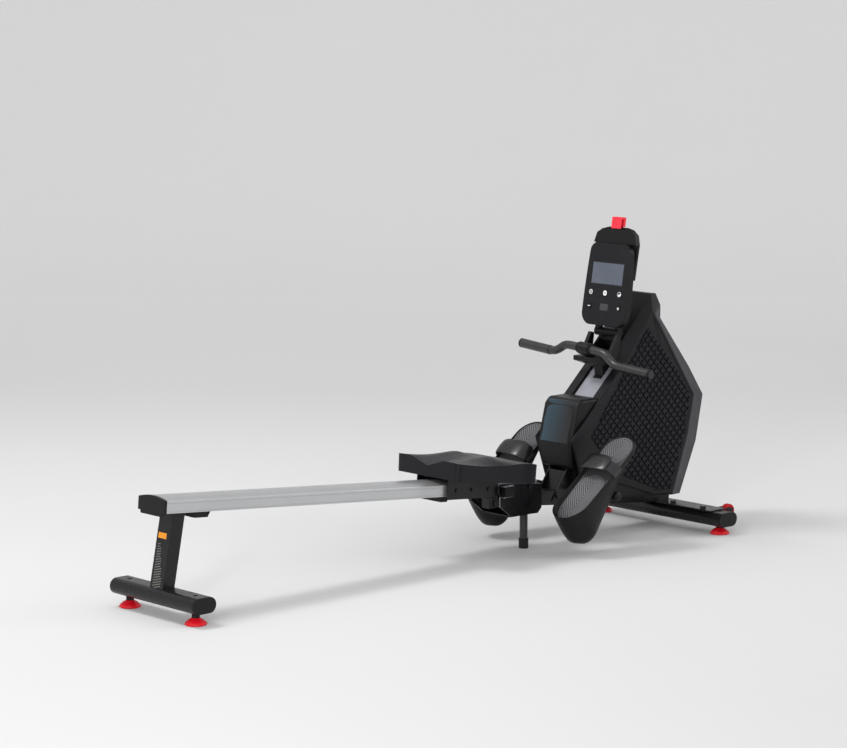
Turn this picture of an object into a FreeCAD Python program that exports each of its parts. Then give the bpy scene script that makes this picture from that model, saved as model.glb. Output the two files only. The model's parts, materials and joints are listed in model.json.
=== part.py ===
import FreeCAD, Part
import math
import os
import re

import Sketcher

# A folding rowing machine: a steel front frame with a covered flywheel column, and a sloping aluminium
# rail that folds up about a pin. Millimetres. +X runs from the rail's rear end to the flywheel housing,
# +Y is on the left of a rower who faces the housing, +Z is up. The origin is on the floor, in the middle
# of the machine's box. Stations along the machine are measured forward from the rear foot bar, which
# stands rear_reach behind the origin.

V = FreeCAD.Vector
ALONG_X = FreeCAD.Rotation(V(0, 1, 0), 90)
ALONG_Y = FreeCAD.Rotation(V(1, 0, 0), -90)
ABOUT_Y = V(0, 1, 0)

SIZES = {
    # whole machine
    "rear_reach": 1047,
    "steel": 3,
    "shell": 3,
    "gap": 0.5,
    # rail and its fold
    "hinge_station": 1350,
    "hinge_height": 205,
    "rail_slope": 4.5,
    "rail_width": 116,
    "rail_side": 35,
    "rail_crown": 8,
    "rail_wall": 2.5,
    "rail_back": 1379,
    "rail_nose": 33,
    "cap_length": 9,
    "cap_plinth": 10,
    "pin_radius": 6,
    "bush_radius": 10,
    "pin_play": 0.05,
    "stop_depth": 18,
    "rear_stop_back": 1277,
    "front_stop_back": 356,
    # rear foot bar, front crossbar and their feet
    "bar_depth": 81,
    "bar_height": 45,
    "bar_wall": 2,
    "bar_cap": 5,
    "rear_bar_length": 376,
    "rear_bar_height": 58,
    "crossbar_station": 1999,
    "crossbar_height": 49,
    "crossbar_length": 583,
    "rear_foot_side": 149,
    "front_foot_side": 256,
    "foot_radius": 31,
    "foot_dome": 20,
    "stem_radius": 6,
    "stem_length": 55,
    "post_station": -25,
    "post_depth": 41,
    "post_width": 57,
    "post_lean": 11,
    "post_wall": 2,
    # transport wheels
    "wheel_radius": 22,
    "wheel_width": 22,
    "wheel_station": 2064,
    "wheel_height": 62,
    "wheel_side": 230,
    "wheel_axle": 4,
    # front frame
    "bracket_back": 1223,
    "bracket_front": 1400,
    "bracket_inside": 59.5,
    "bracket_plate": 4,
    "leg_station": 1386,
    "leg_radius": 12.5,
    "leg_top": 118,
    "boot_radius": 15,
    "boot_height": 31,
    "beam_width": 70,
    "beam_depth": 44,
    "beam_slope": 6,
    "beam_length": 603,
    "beam_back_height": 157,
    "side_plate": 4,
    # drive
    "fly_station": 1900,
    "fly_height": 380,
    "fly_radius": 145,
    "fly_width": 24,
    "fly_web": 7,
    "fly_rim": 26,
    "axle_radius": 8.5,
    "spool_station": 1700,
    "spool_height": 380,
    "spool_radius": 34,
    "spool_flange": 43,
    "spool_width": 30,
    "drive_pulley_radius": 60,
    "fly_pulley_radius": 22,
    "belt_width": 12,
    "belt_thick": 3,
    "stator_radius": 100,
    # housing and column
    "housing_half": 80,
    "spine_half": 58,
    "column_slope": 43.4,
    "pod_half": 73,
    "channel_half": 46,
    "channel_depth": 10,
    # handle
    "grab_station": 1650,
    "grab_height": 594,
    "grab_half": 283,
    "grab_drop": 31,
    "grab_bend_in": 85,
    "grab_bend_out": 135,
    "grab_tube": 12.5,
    "grip_radius": 15,
    "grip_length": 130,
    "grab_roll": 4.5,
    "strap_width": 26,
    "strap_thick": 2,
    # console
    "console_station": 1721,
    "console_height": 660,
    "console_length": 258,
    "console_half": 92,
    "console_depth": 25,
    "console_lean": 8.9,
    "barrel_in": 34.5,
    "barrel_down": 17,
    "barrel_radius": 14,
    "neck_half": 32,
    "button_radius": 9,
    "button_side": 61,
    "button_rise": 102,
    "key_rise": 58,
    "button_stand": 1.4,
    "screen_rise": 163,
    "screen_wide": 136,
    "screen_high": 70,
    # pedals
    "pedal_side": 190,
    "heel_station": 1378,
    "heel_height": 111,
    "pedal_slope": 40.2,
    "pedal_length": 352,
    "pedal_half": 64.5,
    "pedal_wall": 5,
    "pedal_axle_station": 1553,
    "pedal_axle_height": 171,
    "strap_half": 69,
    "strap_rise": 38,
    "band": 3.5,
    # seat
    "seat_half": 137,
    "base_level": 47.5,
    "base_inside": 66,
    "roller_radius": 12,
    "roller_width": 14,
    "roller_side": 44,
    "roller_level": 34.8,
    "seat_axle": 4,
}

doc = FreeCAD.newDocument("RowingMachine")
sheet = doc.addObject("Spreadsheet::Sheet", "Sizes")
for row, (alias, number) in enumerate(SIZES.items(), 1):
    sheet.set(f"A{row}", alias)
    sheet.set(f"B{row}", str(number))
    sheet.setAlias(f"B{row}", alias)
doc.recompute()


# ---------------------------------------------------------------- helpers
def formula(text):
    """The text with each size's name turned into a reference to the sheet."""
    return re.sub(r"[a-z_]+", lambda m: f"Sizes.{m[0]}" if m[0] in SIZES else m[0], str(text))


def number(text):
    """What a formula comes to now."""
    result = sheet.evalExpression(formula(text))
    return float(getattr(result, "Value", result))


def bind(thing, **formulas):
    """Ties properties to formulas; a double underscore in a name stands for a dot."""
    for name, text in formulas.items():
        thing.setExpression(name.replace("__", "."), formula(text))
    return thing


def along(station):
    """X of a station measured forward from the rear foot bar."""
    return f"({station}) - rear_reach"


def put(thing, x, y, z, turn=None, angle=None):
    """Places a thing by formulas, turned by a fixed rotation, or by an angle formula about Y."""
    if turn:
        thing.Placement = FreeCAD.Placement(V(), turn)
    if angle is not None:
        thing.Placement = FreeCAD.Placement(V(), FreeCAD.Rotation(ABOUT_Y, 10))
        bind(thing, Placement__Rotation__Angle=angle)
    return bind(thing, Placement__Base__x=x, Placement__Base__y=y, Placement__Base__z=z)


def box(length, width, height, x, y, z, angle=None):
    """A box whose centre in Y is at y, with its lowest corner in X and Z at x and z."""
    solid = bind(doc.addObject("Part::Box", "Box"), Length=length, Width=width, Height=height)
    return put(solid, x, f"({y}) - ({width}) / 2", z, angle=angle)


def rod(radius, length, x, y, z, turn=None):
    """A cylinder that starts at x, y, z and runs up, or along X or Y when turned."""
    solid = bind(doc.addObject("Part::Cylinder", "Cylinder"), Radius=radius, Height=length)
    return put(solid, x, y, z, turn=turn)


def cut(base, tool):
    result = doc.addObject("Part::Cut", "Cut")
    result.Base, result.Tool = base, tool
    return result


def fuse(*solids):
    result = doc.addObject("Part::MultiFuse", "Fusion")
    result.Shapes = list(solids)
    return result


def common(first, second):
    result = doc.addObject("Part::Common", "Common")
    result.Base, result.Tool = first, second
    return result


def group(*solids):
    """Several separate solids kept as one sub-part."""
    result = doc.addObject("Part::Compound", "Group")
    result.Links = list(solids)
    return result


def mirrored(source):
    """The same piece on the other side of the machine's middle plane."""
    result = doc.addObject("Part::Mirroring", "Mirror")
    result.Source, result.Normal = source, V(0, 1, 0)
    return result


def sleeve(outer, inner, length, x, y, z, turn=None):
    """A tube: a rod with a coaxial hole right through."""
    return cut(rod(outer, length, x, y, z, turn), rod(inner, length, x, y, z, turn))


def sketch_in(body, role, offset="0"):
    """A new sketch on one of the body's own origin planes, raised by an offset along its normal."""
    plane = next(f for f in body.Origin.OriginFeatures if f.Role == role)
    sketch = body.newObject("Sketcher::SketchObject", "Sketch")
    sketch.AttachmentSupport = [(plane, "")]
    sketch.MapMode = "FlatFace"
    return bind(sketch, AttachmentOffset__Base__z=offset)


def pin_point(sketch, geometry, point, x, y):
    """Ties one point of a sketch's geometry to a pair of formulas."""
    for kind, text in (("DistanceX", x), ("DistanceY", y)):
        made = sketch.addConstraint(
            Sketcher.Constraint(kind, -1, 1, geometry, point, number(text))
        )
        sketch.setExpression(f"Constraints[{made}]", formula(text))


def arc_top(corner, after):
    """Formulas for an arc's middle point: the third entry is its bulge to the left of the chord."""
    (x, y, bulge), (end_x, end_y) = corner, after[:2]
    dx, dy = f"(({end_x}) - ({x}))", f"(({end_y}) - ({y}))"
    chord = f"sqrt({dx}^2 + {dy}^2)"
    return (
        f"(({x}) + ({end_x})) / 2 - {dy} / {chord} * ({bulge})",
        f"(({y}) + ({end_y})) / 2 + {dx} / {chord} * ({bulge})",
    )


def draw_outline(sketch, corners):
    """A closed outline, anticlockwise, through corners given as pairs of formulas. A corner with a third
    entry starts an arc to the next corner, which bulges outwards where that entry is below nought."""
    spots = [V(number(c[0]), number(c[1]), 0) for c in corners]
    count = len(corners)
    tops = []
    for i, corner in enumerate(corners):
        start, end = spots[i], spots[(i + 1) % count]
        if len(corner) == 2:
            sketch.addGeometry(Part.LineSegment(start, end))
            continue
        top = arc_top(corner, corners[(i + 1) % count])
        middle = V(number(top[0]), number(top[1]), 0)
        sketch.addGeometry(Part.Arc(start, middle, end))
        tops.append((i, top, middle))
    heads = [1 if (g.StartPoint - spots[i]).Length < 0.001 else 2 for i, g in enumerate(sketch.Geometry)]
    for i, head in enumerate(heads):
        after = (i + 1) % count
        sketch.addConstraint(Sketcher.Constraint("Coincident", i, 3 - head, after, heads[after]))
    for i, corner in enumerate(corners):
        pin_point(sketch, i, heads[i], corner[0], corner[1])
    for i, top, middle in tops:
        mark = sketch.addGeometry(Part.Point(middle), True)
        sketch.addConstraint(Sketcher.Constraint("PointOnObject", mark, 1, i))
        pin_point(sketch, mark, 1, *top)


def pad(body, corners, role, length, middle="0", taper=None):
    """An outline on an origin plane, padded evenly to both sides of a plane raised by middle."""
    sketch = sketch_in(body, role, middle)
    draw_outline(sketch, corners)
    feature = body.newObject("PartDesign::Pad", "Pad")
    feature.Profile = sketch
    feature.Midplane = True
    bind(feature, Length=length)
    if taper is not None:
        bind(feature, TaperAngle=taper)
    return feature


def pocket(body, corners, role, length, middle="0"):
    """An outline cut evenly to both sides of a raised plane; the cut must take something away."""
    doc.recompute()
    before = body.Shape.Volume
    sketch = sketch_in(body, role, middle)
    draw_outline(sketch, corners)
    feature = body.newObject("PartDesign::Pocket", "Pocket")
    feature.Profile = sketch
    feature.Midplane = True
    bind(feature, Length=length)
    doc.recompute()
    if body.Shape.Volume >= before - 1:
        raise ValueError(f"{body.Name}: a pocket cuts nothing")
    return feature


def prism(corners, width, middle="0", role="XZ_Plane"):
    """A body with one pad: a side outline with a width across the machine."""
    body = doc.addObject("PartDesign::Body", "Body")
    pad(body, corners, role, width, middle)
    return body


def round_edges(body, radius, chosen):
    """Fillets the edges of the body's last feature that pass a test of their two ends."""
    doc.recompute()
    tip = body.Tip
    names = [
        f"Edge{i}"
        for i, edge in enumerate(tip.Shape.Edges, 1)
        if chosen(edge.firstVertex().Point, edge.lastVertex().Point)
    ]
    fillet = body.newObject("PartDesign::Fillet", "Fillet")
    fillet.Base = (tip, names)
    bind(fillet, Radius=radius)
    return body


def across(a, b):
    """Does an edge run straight across the machine, along Y?"""
    return abs(a.x - b.x) < 0.01 and abs(a.z - b.z) < 0.01 and abs(a.y - b.y) > 1


def on_rail(*solids):
    """Carries solids drawn about the fold pin, with x along the rail, to their place."""
    return put(group(*solids), along("hinge_station"), "0", "hinge_height", angle="rail_slope")


SUB_PARTS = []


def sub_part(label, solid):
    """Names a finished sub-part; its label names its file."""
    solid.Label = label
    SUB_PARTS.append(solid)
    return solid


# ---------------------------------------------------------------- bars and feet
def stadium(depth, height):
    """Corners of an outline with flat top and bottom and round ends."""
    flat = f"(({depth}) - ({height})) / 2"
    rise = f"({height}) / 2"
    return [
        (f"-({flat})", f"-({rise})"),
        (flat, f"-({rise})", f"-({rise})"),
        (flat, rise),
        (f"-({flat})", rise, f"-({rise})"),
    ]


def foot_bar(length):
    """A hollow steel bar of stadium section along Y, open at both ends."""
    body = prism(stadium("bar_depth", "bar_height"), f"({length}) - 2 * bar_cap")
    inner = stadium("bar_depth - 2 * bar_wall", "bar_height - 2 * bar_wall")
    pocket(body, inner, "XZ_Plane", f"({length}) + 10")
    return body


def bar_cap(length):
    """A cap that closes one end of a foot bar, with a plug that enters it."""
    body = prism(stadium("bar_depth", "bar_height"), "bar_cap", f"({length}) / 2 - bar_cap / 2")
    plug = stadium("bar_depth - 2 * bar_wall - gap", "bar_height - 2 * bar_wall - gap")
    pad(body, plug, "XZ_Plane", "20", f"({length}) / 2 - bar_cap - 10")
    return body


def bar_set(label, caps_label, length, station, height):
    x = along(station)
    bar = put(foot_bar(length), x, "0", height)
    near = put(bar_cap(length), x, "0", height)
    sub_part(label, bar)
    sub_part(caps_label, group(near, mirrored(near)))
    return bar


def foot(label, station, side, seat_height):
    """A red dome with a threaded stem that screws up into its bar."""
    x = along(station)
    dome_centre = "foot_dome - (foot_radius^2 + foot_dome^2) / (2 * foot_dome)"
    ball = doc.addObject("Part::Sphere", "Dome")
    bind(ball, Radius="(foot_radius^2 + foot_dome^2) / (2 * foot_dome)")
    put(ball, x, side, dome_centre)
    dome = common(ball, rod("foot_radius", "foot_dome", x, side, "0"))
    neck = rod("stem_radius + 4", f"({seat_height}) - foot_dome + 3.7", x, side, "foot_dome - 4")
    stem = rod("stem_radius", "stem_length - 10", x, side, "foot_dome - 4")
    return sub_part(label, fuse(dome, neck, stem))


def drill_for_feet(bar, station, side):
    """The bar's holes for its two feet."""
    x = along(station)
    holes = [rod("stem_radius + 0.5", "200", x, y, "0") for y in (side, f"-({side})")]
    label = bar.Label
    SUB_PARTS.remove(bar)
    bar.Label = label + "_blank"
    return sub_part(label, cut(bar, group(*holes)))


def bars_and_feet():
    rear = bar_set("rear_bar", "rear_bar_caps", "rear_bar_length", "0", "rear_bar_height")
    front = bar_set(
        "front_crossbar", "crossbar_end_caps", "crossbar_length", "crossbar_station", "crossbar_height"
    )
    drill_for_feet(rear, "0", "rear_foot_side")
    drill_for_feet(front, "crossbar_station", "front_foot_side")
    under_rear = "rear_bar_height - bar_height / 2"
    under_front = "crossbar_height - bar_height / 2"
    for side, sign in (("left", ""), ("right", "-")):
        foot(f"rear_foot_{side}", "0", f"{sign}rear_foot_side", under_rear)
        foot(f"front_foot_{side}", "crossbar_station", f"{sign}front_foot_side", under_front)


# ---------------------------------------------------------------- rail
def rail_outline(inset):
    """The rail's section: flat sides and underside and an arched top."""
    half = f"rail_width / 2 - {inset}"
    low = f"-rail_side / 2 + {inset}"
    high = f"rail_side / 2 - {inset} / 2"
    return [
        (f"-({half})", low),
        (half, low),
        (half, high, f"-(rail_crown - {inset} / 2)"),
        (f"-({half})", high),
    ]


def rail():
    """The aluminium rail with its two side holes for the fold's bush."""
    body = doc.addObject("PartDesign::Body", "Rail")
    length = "rail_back + rail_nose"
    middle = "(rail_nose - rail_back) / 2"
    pad(body, rail_outline("0"), "YZ_Plane", length, middle)
    pocket(body, rail_outline("rail_wall"), "YZ_Plane", f"{length} + 10", middle)
    bore = rod("bush_radius", "rail_width + 10", "0", "-rail_width / 2 - 5", "0", ALONG_Y)
    sub_part("rail", on_rail(cut(body, bore)))


def rail_end_cap():
    """The black cap with its lower middle plinth and a plug inside the rail."""
    body = doc.addObject("PartDesign::Body", "RailEndCap")
    middle = "-rail_back - cap_length / 2"
    pad(body, rail_outline("-1"), "YZ_Plane", "cap_length", middle)
    plinth = [
        ("-46", "-rail_side / 2 - cap_plinth"),
        ("46", "-rail_side / 2 - cap_plinth"),
        ("50", "-rail_side / 2 + 2"),
        ("-50", "-rail_side / 2 + 2"),
    ]
    pad(body, plinth, "YZ_Plane", "cap_length", middle)
    pad(body, rail_outline("rail_wall + 0.3"), "YZ_Plane", "25", "-rail_back + 12.5")
    sub_part("rail_end_cap", on_rail(body))


def rail_fittings():
    """The fold's bush, and the two rubber stops under the rail."""
    bush = sleeve(
        "bush_radius", "pin_radius + pin_play", "rail_width", "0", "-rail_width / 2", "0", ALONG_Y
    )
    top = "-rail_side / 2"
    low = f"{top} - stop_depth"
    stops = []
    for back, length in (("rear_stop_back", "62"), ("front_stop_back", "42")):
        stops.append(
            prism(
                [
                    (f"-({back})", top),
                    (f"-({back}) + 6", low),
                    (f"-({back}) + {length} - 10", low),
                    (f"-({back}) + {length}", top),
                ],
                "88",
            )
        )
    sub_part("rail_fittings", on_rail(bush, *stops))


def rear_post():
    """The leaning rectangular tube between the rail and the rear foot bar, cut to fit both."""
    lean = "post_lean"
    foot_x = along("post_station")
    outer = box("post_depth", "post_width", "300", foot_x, "0", "60", angle=lean)
    inner = box(
        "post_depth - 2 * post_wall",
        "post_width - 2 * post_wall",
        "320",
        f"{foot_x} + post_wall",
        "0",
        "50",
        angle=lean,
    )
    shaft = cut(outer, inner)
    above = on_rail(box("rail_back + 200", "200", "300", "-rail_back - 100", "0", "-rail_side / 2"))
    bar = put(
        prism(stadium("bar_depth", "bar_height"), "200"), along("0"), "0", "rear_bar_height"
    )
    sub_part("rear_post", cut(shaft, fuse(above, bar)))


# ---------------------------------------------------------------- front frame
def main_beam():
    """The hollow beam from the fold bracket down to the crossbar, and its plate on the crossbar."""
    x, z = along("bracket_front"), "beam_back_height - beam_depth / 2"
    outer = box("beam_length", "beam_width", "beam_depth", x, "0", z, angle="beam_slope")
    inner = box(
        "beam_length - 2 * steel",
        "beam_width - 2 * steel",
        "beam_depth - 2 * steel",
        f"{x} + steel",
        "0",
        f"{z} + steel",
        angle="beam_slope",
    )
    plate_z = "crossbar_height + bar_height / 2"
    wide = "2 * (wheel_side + 16)"
    plate = box("70", wide, "4", along("crossbar_station - 35"), "0", plate_z)
    below = box("700", "300", "100", along("1350"), "0", f"{plate_z} - 100")
    ears = []
    for y in ("14.5", "-14.5"):
        ear = prism(
            [
                (along("2020"), f"{plate_z} + 0.1"),
                (along("2043"), f"{plate_z} + 0.1"),
                (along("2056"), "52"),
                (along("2072"), "52"),
                (along("2074"), "72"),
                (along("2056"), f"{plate_z} + 4"),
                (along("2020"), f"{plate_z} + 4"),
            ],
            "3",
            f"wheel_side + {y}",
        )
        ears += [ear, mirrored(ear)]
    riser = prism(
        [
            (along("1508"), "140"),
            (along("1590"), "134"),
            (along("1600"), "222"),
            (along("1530"), "226"),
        ],
        "beam_width - 1",
    )
    bore = rod("wheel_axle", "700", along("wheel_station"), "-350", "wheel_height", ALONG_Y)
    axle_way = rod("8", "200", along("pedal_axle_station"), "-100", "pedal_axle_height", ALONG_Y)
    beam = fuse(cut(cut(outer, inner), below), riser, plate, *ears)
    sub_part("main_beam", cut(beam, group(bore, axle_way)))


def side_plates():
    """Two steel plates on the beam's sides, which carry the drive's axles and the console's neck."""
    outline = [
        (along("1470"), "140"),
        (along("1900"), "108"),
        (along("2000"), "300"),
        (along("2000"), "440"),
        (along("1880"), "560"),
        (along("1852"), "588"),
        (along("1790"), "544"),
        (along("1562"), "272"),
    ]
    y = "beam_width / 2 + side_plate / 2"
    plate = prism(outline, "side_plate", y)
    holes = [
        rod("axle_radius", "40", along(f"{name}_station"), "-60", f"{name}_height", ALONG_Y)
        for name in ("fly", "spool")
    ]
    holes.append(rod("7", "40", along("pedal_axle_station"), "-60", "pedal_axle_height", ALONG_Y))
    drilled = cut(plate, group(*holes))
    sub_part("frame_side_plates", group(drilled, mirrored(drilled)))


def hinge_bracket():
    """The open channel the rail's front end drops into, with the block it rests on at the pin's side."""
    outline = [
        (along("bracket_back"), "158"),
        (along("bracket_back + 47"), "122"),
        (along("bracket_front - 16"), "118"),
        (along("bracket_front"), "134"),
        (along("bracket_front"), "208"),
        (along("bracket_back + 20"), "224"),
        (along("bracket_back"), "218"),
    ]
    plate = prism(outline, "bracket_plate", "bracket_inside + bracket_plate / 2")
    bore = rod("pin_radius", "200", along("hinge_station"), "-100", "hinge_height", ALONG_Y)
    floor = box("113", "2 * bracket_inside", "4", along("1271"), "0", "118")
    rest = box("45", "30", "31", along("1181"), "-44.5", "156")
    arm = box("60", "4", "20", along("1200"), "-61.5", "160")
    end = box("5", "2 * bracket_inside", "72", along("bracket_front - 5"), "0", "136")
    pinhole = rod("9", "40", along("1237"), "-80", "205", ALONG_Y)
    channel = fuse(plate, mirrored(plate), floor, end, rest, arm)
    sub_part("hinge_bracket", cut(cut(channel, bore), pinhole))


def lock_pin():
    """The sprung pull pin beside the rail's front end: a square knob on a round shank."""
    x, z = along("1237"), "205"
    knob = box("40", "14", "30", f"{x} - 20", "-88", "190")
    shank = rod("8.5", "22", x, "-82", z, ALONG_Y)
    sub_part("lock_pin", fuse(knob, shank))


def pins_and_axles():
    """The fold pin, the drive's two axles, the pedals' axle and the two wheel axles."""
    pin_x, pin_z = along("hinge_station"), "hinge_height"
    reach = "bracket_inside + bracket_plate"
    pin = fuse(
        rod("pin_radius", f"2 * ({reach})", pin_x, f"-({reach})", pin_z, ALONG_Y),
        rod("pin_radius + 4", "5", pin_x, reach, pin_z, ALONG_Y),
        rod("pin_radius + 4", "5", pin_x, f"-({reach}) - 5", pin_z, ALONG_Y),
    )
    drive = [
        rod("axle_radius", "beam_width + 2 * side_plate", along(f"{name}_station"),
            "-beam_width / 2 - side_plate", f"{name}_height", ALONG_Y)
        for name in ("fly", "spool")
    ]
    pedal = rod(
        "7", "2 * (pedal_side + 50)", along("pedal_axle_station"), "-pedal_side - 50",
        "pedal_axle_height", ALONG_Y,
    )
    wheels = [
        rod("wheel_axle", "34", along("wheel_station"), y, "wheel_height", ALONG_Y)
        for y in ("wheel_side - 17", "-wheel_side - 17")
    ]
    sub_part("pins_and_axles", group(pin, *drive, pedal, *wheels))


def middle_leg():
    """The short leg under the fold bracket and its rubber boot."""
    x = along("leg_station")
    sub_part("middle_leg", sleeve("leg_radius", "leg_radius - 2", "leg_top - 4", x, "0", "4"))
    sub_part(
        "middle_leg_boot",
        cut(rod("boot_radius", "boot_height", x, "0", "0"), rod("leg_radius", "60", x, "0", "4")),
    )


def transport_wheel(label, y):
    """A wheel on its axle, clear of the floor until the machine is tipped forward."""
    wheel = sleeve(
        "wheel_radius",
        "wheel_axle + pin_play",
        "wheel_width",
        along("wheel_station"),
        f"{y} - wheel_width / 2",
        "wheel_height",
        ALONG_Y,
    )
    sub_part(label, wheel)


def frame_fasteners():
    """The domed nuts and the bolt heads on the crossbar's plate and the beam."""
    nuts = []
    top = "crossbar_height + bar_height / 2 + 4"
    for y in ("-203", "-75", "75", "203"):
        nuts.append(rod("9", "9", along("1978"), y, top))
    for y in ("beam_width / 2 + side_plate", "-beam_width / 2 - side_plate - 6"):
        for x in ("1492", "1530"):
            nuts.append(rod("6", "6", along(x), y, "152", ALONG_Y))
    sub_part("frame_fasteners", group(*nuts))


# ---------------------------------------------------------------- drive
def flywheel():
    """A heavy rim on a web, open to one side for the alternator's fixed coils."""
    x, z = along("fly_station"), "fly_height"
    disc = rod("fly_radius", "fly_width", x, "-30", z, ALONG_Y)
    hollow = rod("fly_radius - fly_rim", "fly_width - fly_web", x, "-30", z, ALONG_Y)
    bore = rod("axle_radius + pin_play", "60", x, "-40", z, ALONG_Y)
    hub = rod("24", "36", x, "-30", z, ALONG_Y)
    sub_part("flywheel", cut(fuse(cut(disc, hollow), hub), bore))
    pulley = sleeve(
        "fly_pulley_radius", "axle_radius + pin_play", "belt_width + 4", x, "6", z, ALONG_Y
    )
    sub_part("flywheel_pulley", pulley)
    stator = sleeve("stator_radius", "30", "12", x, "-34", z, ALONG_Y)
    arm = box("200", "4", "30", along("fly_station - 100"), "-33", "fly_height - 15")
    hole = rod("30", "40", x, "-50", z, ALONG_Y)
    sub_part("alternator_stator", fuse(stator, cut(arm, hole)))


def spool():
    """The strap's drum between two flanges, with its recoil spring's barrel."""
    x, z = along("spool_station"), "spool_height"
    drum = rod("spool_radius", "spool_width", x, "-25", z, ALONG_Y)
    flanges = [rod("spool_flange", "2", x, y, z, ALONG_Y) for y in ("-27", "spool_width - 25")]
    bore = rod("axle_radius + pin_play", "80", x, "-40", z, ALONG_Y)
    sub_part("strap_spool", cut(fuse(drum, *flanges), bore))
    pulley = sleeve(
        "drive_pulley_radius", "axle_radius + pin_play", "belt_width + 4", x, "9", z, ALONG_Y
    )
    sub_part("drive_pulley", pulley)


def drive_belt():
    """The ribbed belt round the two pulleys, a hair clear of both."""
    a = ("spool_station", "drive_pulley_radius + 0.3")
    c = ("fly_station", "fly_pulley_radius + 0.3")

    def loop(extra, width):
        y = "15 - " + str(float(width) / 2)
        ends = [
            rod(f"{r} + {extra}", width, along(x), y, "spool_height", ALONG_Y) for x, r in (a, c)
        ]
        span = "(fly_station - spool_station)"
        lean = f"asin((drive_pulley_radius - fly_pulley_radius) / {span})"
        big, small = f"(drive_pulley_radius + 0.3 + {extra})", f"(fly_pulley_radius + 0.3 + {extra})"
        start = along("spool_station")
        end = along("fly_station")
        web = prism(
            [
                (f"{start} + {big} * sin({lean})", f"spool_height + {big} * cos({lean})"),
                (f"{end} + {small} * sin({lean})", f"spool_height + {small} * cos({lean})"),
                (f"{end} + {small} * sin({lean})", f"spool_height - {small} * cos({lean})"),
                (f"{start} + {big} * sin({lean})", f"spool_height - {big} * cos({lean})"),
            ],
            width,
            "-15",
        )
        return fuse(*ends, web)

    sub_part("drive_belt", cut(loop("belt_thick", "12"), loop("0", "20")))


# ---------------------------------------------------------------- housing and column
def ridge(station):
    """Height of the column's two ridges, on the rower's side, at a station."""
    return f"471 + (({station}) - 1663) * tan(column_slope)"


def spine_corners(inset):
    """The housing's deepest outline, with an even inset for the shell's inside."""
    i = inset
    return [
        (along(f"1560 + {i}"), f"170 + {i}"),
        (along(f"1700 + {i}"), f"124 + {i}"),
        (along(f"2031 - {i}"), f"98 + {i}"),
        (along(f"2104 - {i}"), "263"),
        (along(f"2134 - {i}"), "409"),
        (along(f"2066 - {i}"), f"506 - {i} / 2"),
        (along(f"1931 - {i}"), f"672 - {i}"),
        (along(f"1931 - {i}"), f"713 - {i}"),
        (along(f"1908 - {i}"), f"752 - {i}"),
        (along(f"1888 + {i} / 2"), f"752 - {i}"),
        (along(f"1739 + {i} / 2"), f"594 - {i}"),
        (along(f"1728 + {i} / 2"), f"{ridge('1728')} - {i} * 1.5"),
        (along(f"1560 + {i}"), f"{ridge('1560')} - {i}"),
    ]


def plateau_corners(inset):
    """The housing's flat side face, set in from the spine's edge by the bevel."""
    i = inset
    return [
        (along(f"1510 + {i}"), f"265 + {i}"),
        (along(f"1562 + {i}"), f"176 + {i}"),
        (along(f"1700 + {i}"), f"128 + {i}"),
        (along(f"1975 - {i}"), f"108 + {i}"),
        (along(f"2075 - {i}"), "419"),
        (along(f"1882 - {i}"), f"690 - {i}"),
        (along(f"1868 - {i} / 2"), f"694 - {i}"),
        (along(f"1800 + {i} / 2"), f"{ridge('1800')} - {i}"),
        (along(f"1510 + {i}"), f"{ridge('1510')} - {i}"),
    ]


def housing_half(sign):
    """One side shell: a thin cover from the middle plane out to its flat face, open inside."""
    body = doc.addObject("PartDesign::Body", "HousingCover")
    depth, wide = "spine_half - gap / 2", "housing_half - gap / 2"
    pad(body, spine_corners("0"), "XZ_Plane", depth, f"{sign} * (gap / 2 + ({depth}) / 2)")
    pad(body, plateau_corners("0"), "XZ_Plane", wide, f"{sign} * (gap / 2 + ({wide}) / 2)")
    pocket(body, spine_corners("shell"), "XZ_Plane", "2 * (spine_half - shell)")
    pocket(body, plateau_corners("shell"), "XZ_Plane", "2 * (housing_half - shell)")
    return body


def housing():
    """Both side shells, opened for the channel, the pod, the neck, the beam and the pedals' axle."""
    for label, sign in (("housing_cover_right", 1), ("housing_cover_left", -1)):
        shell = housing_half(sign)
        openings = [
            prism(channel_corners("0"), "2 * channel_half"),
            prism(pod_corners("0.3"), "2 * pod_half + 0.6"),
            prism(neck_corners("1"), "66"),
            box("700", "beam_width + 2 * side_plate + 4", "80", along("1400"), "0", "90"),
            box("110", "beam_width + 2 * side_plate + 4", "200", along("1495"), "0", "90"),
            box("200", "400", "60", along("1940"), "0", "36"),
            rod("9", "200", along("pedal_axle_station"), "-100", "pedal_axle_height", ALONG_Y),
        ]
        sub_part(label, cut(shell, group(*openings)))


def channel_corners(extra):
    """The recess down the rower's side of the column, and everything on the rower's side of it."""
    floor_x = "channel_depth * sin(column_slope)"
    floor_z = "channel_depth * cos(column_slope)"
    low, high = "1480", "1786"
    return [
        (along(f"{low} + {floor_x}"), f"{ridge(low)} - {floor_z} - {extra}"),
        (along(f"{high} + {floor_x}"), f"{ridge(high)} - {floor_z} - {extra}"),
        (along(f"{high} - 60"), f"{ridge(high)} + 60"),
        (along(f"{low} - 60"), f"{ridge(low)} + 60"),
    ]


def column_plate(thickness, start, length, drop, half):
    """A flat plate lying in the column's channel, start along it and drop below the ridges' faces."""
    plate = box(length, f"2 * ({half})", thickness, "0", "0", "0")
    plate.Placement = FreeCAD.Placement(V(), FreeCAD.Rotation(ABOUT_Y, -43.4))
    bind(plate, Placement__Rotation__Angle="-column_slope")
    x = f"1480 + ({start}) * cos(column_slope) + ({drop}) * sin(column_slope)"
    z = f"{ridge('1480')} + ({start}) * sin(column_slope) - ({drop}) * cos(column_slope)"
    return bind(
        plate, Placement__Base__x=along(x), Placement__Base__y=f"-({half})", Placement__Base__z=z
    )


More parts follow.
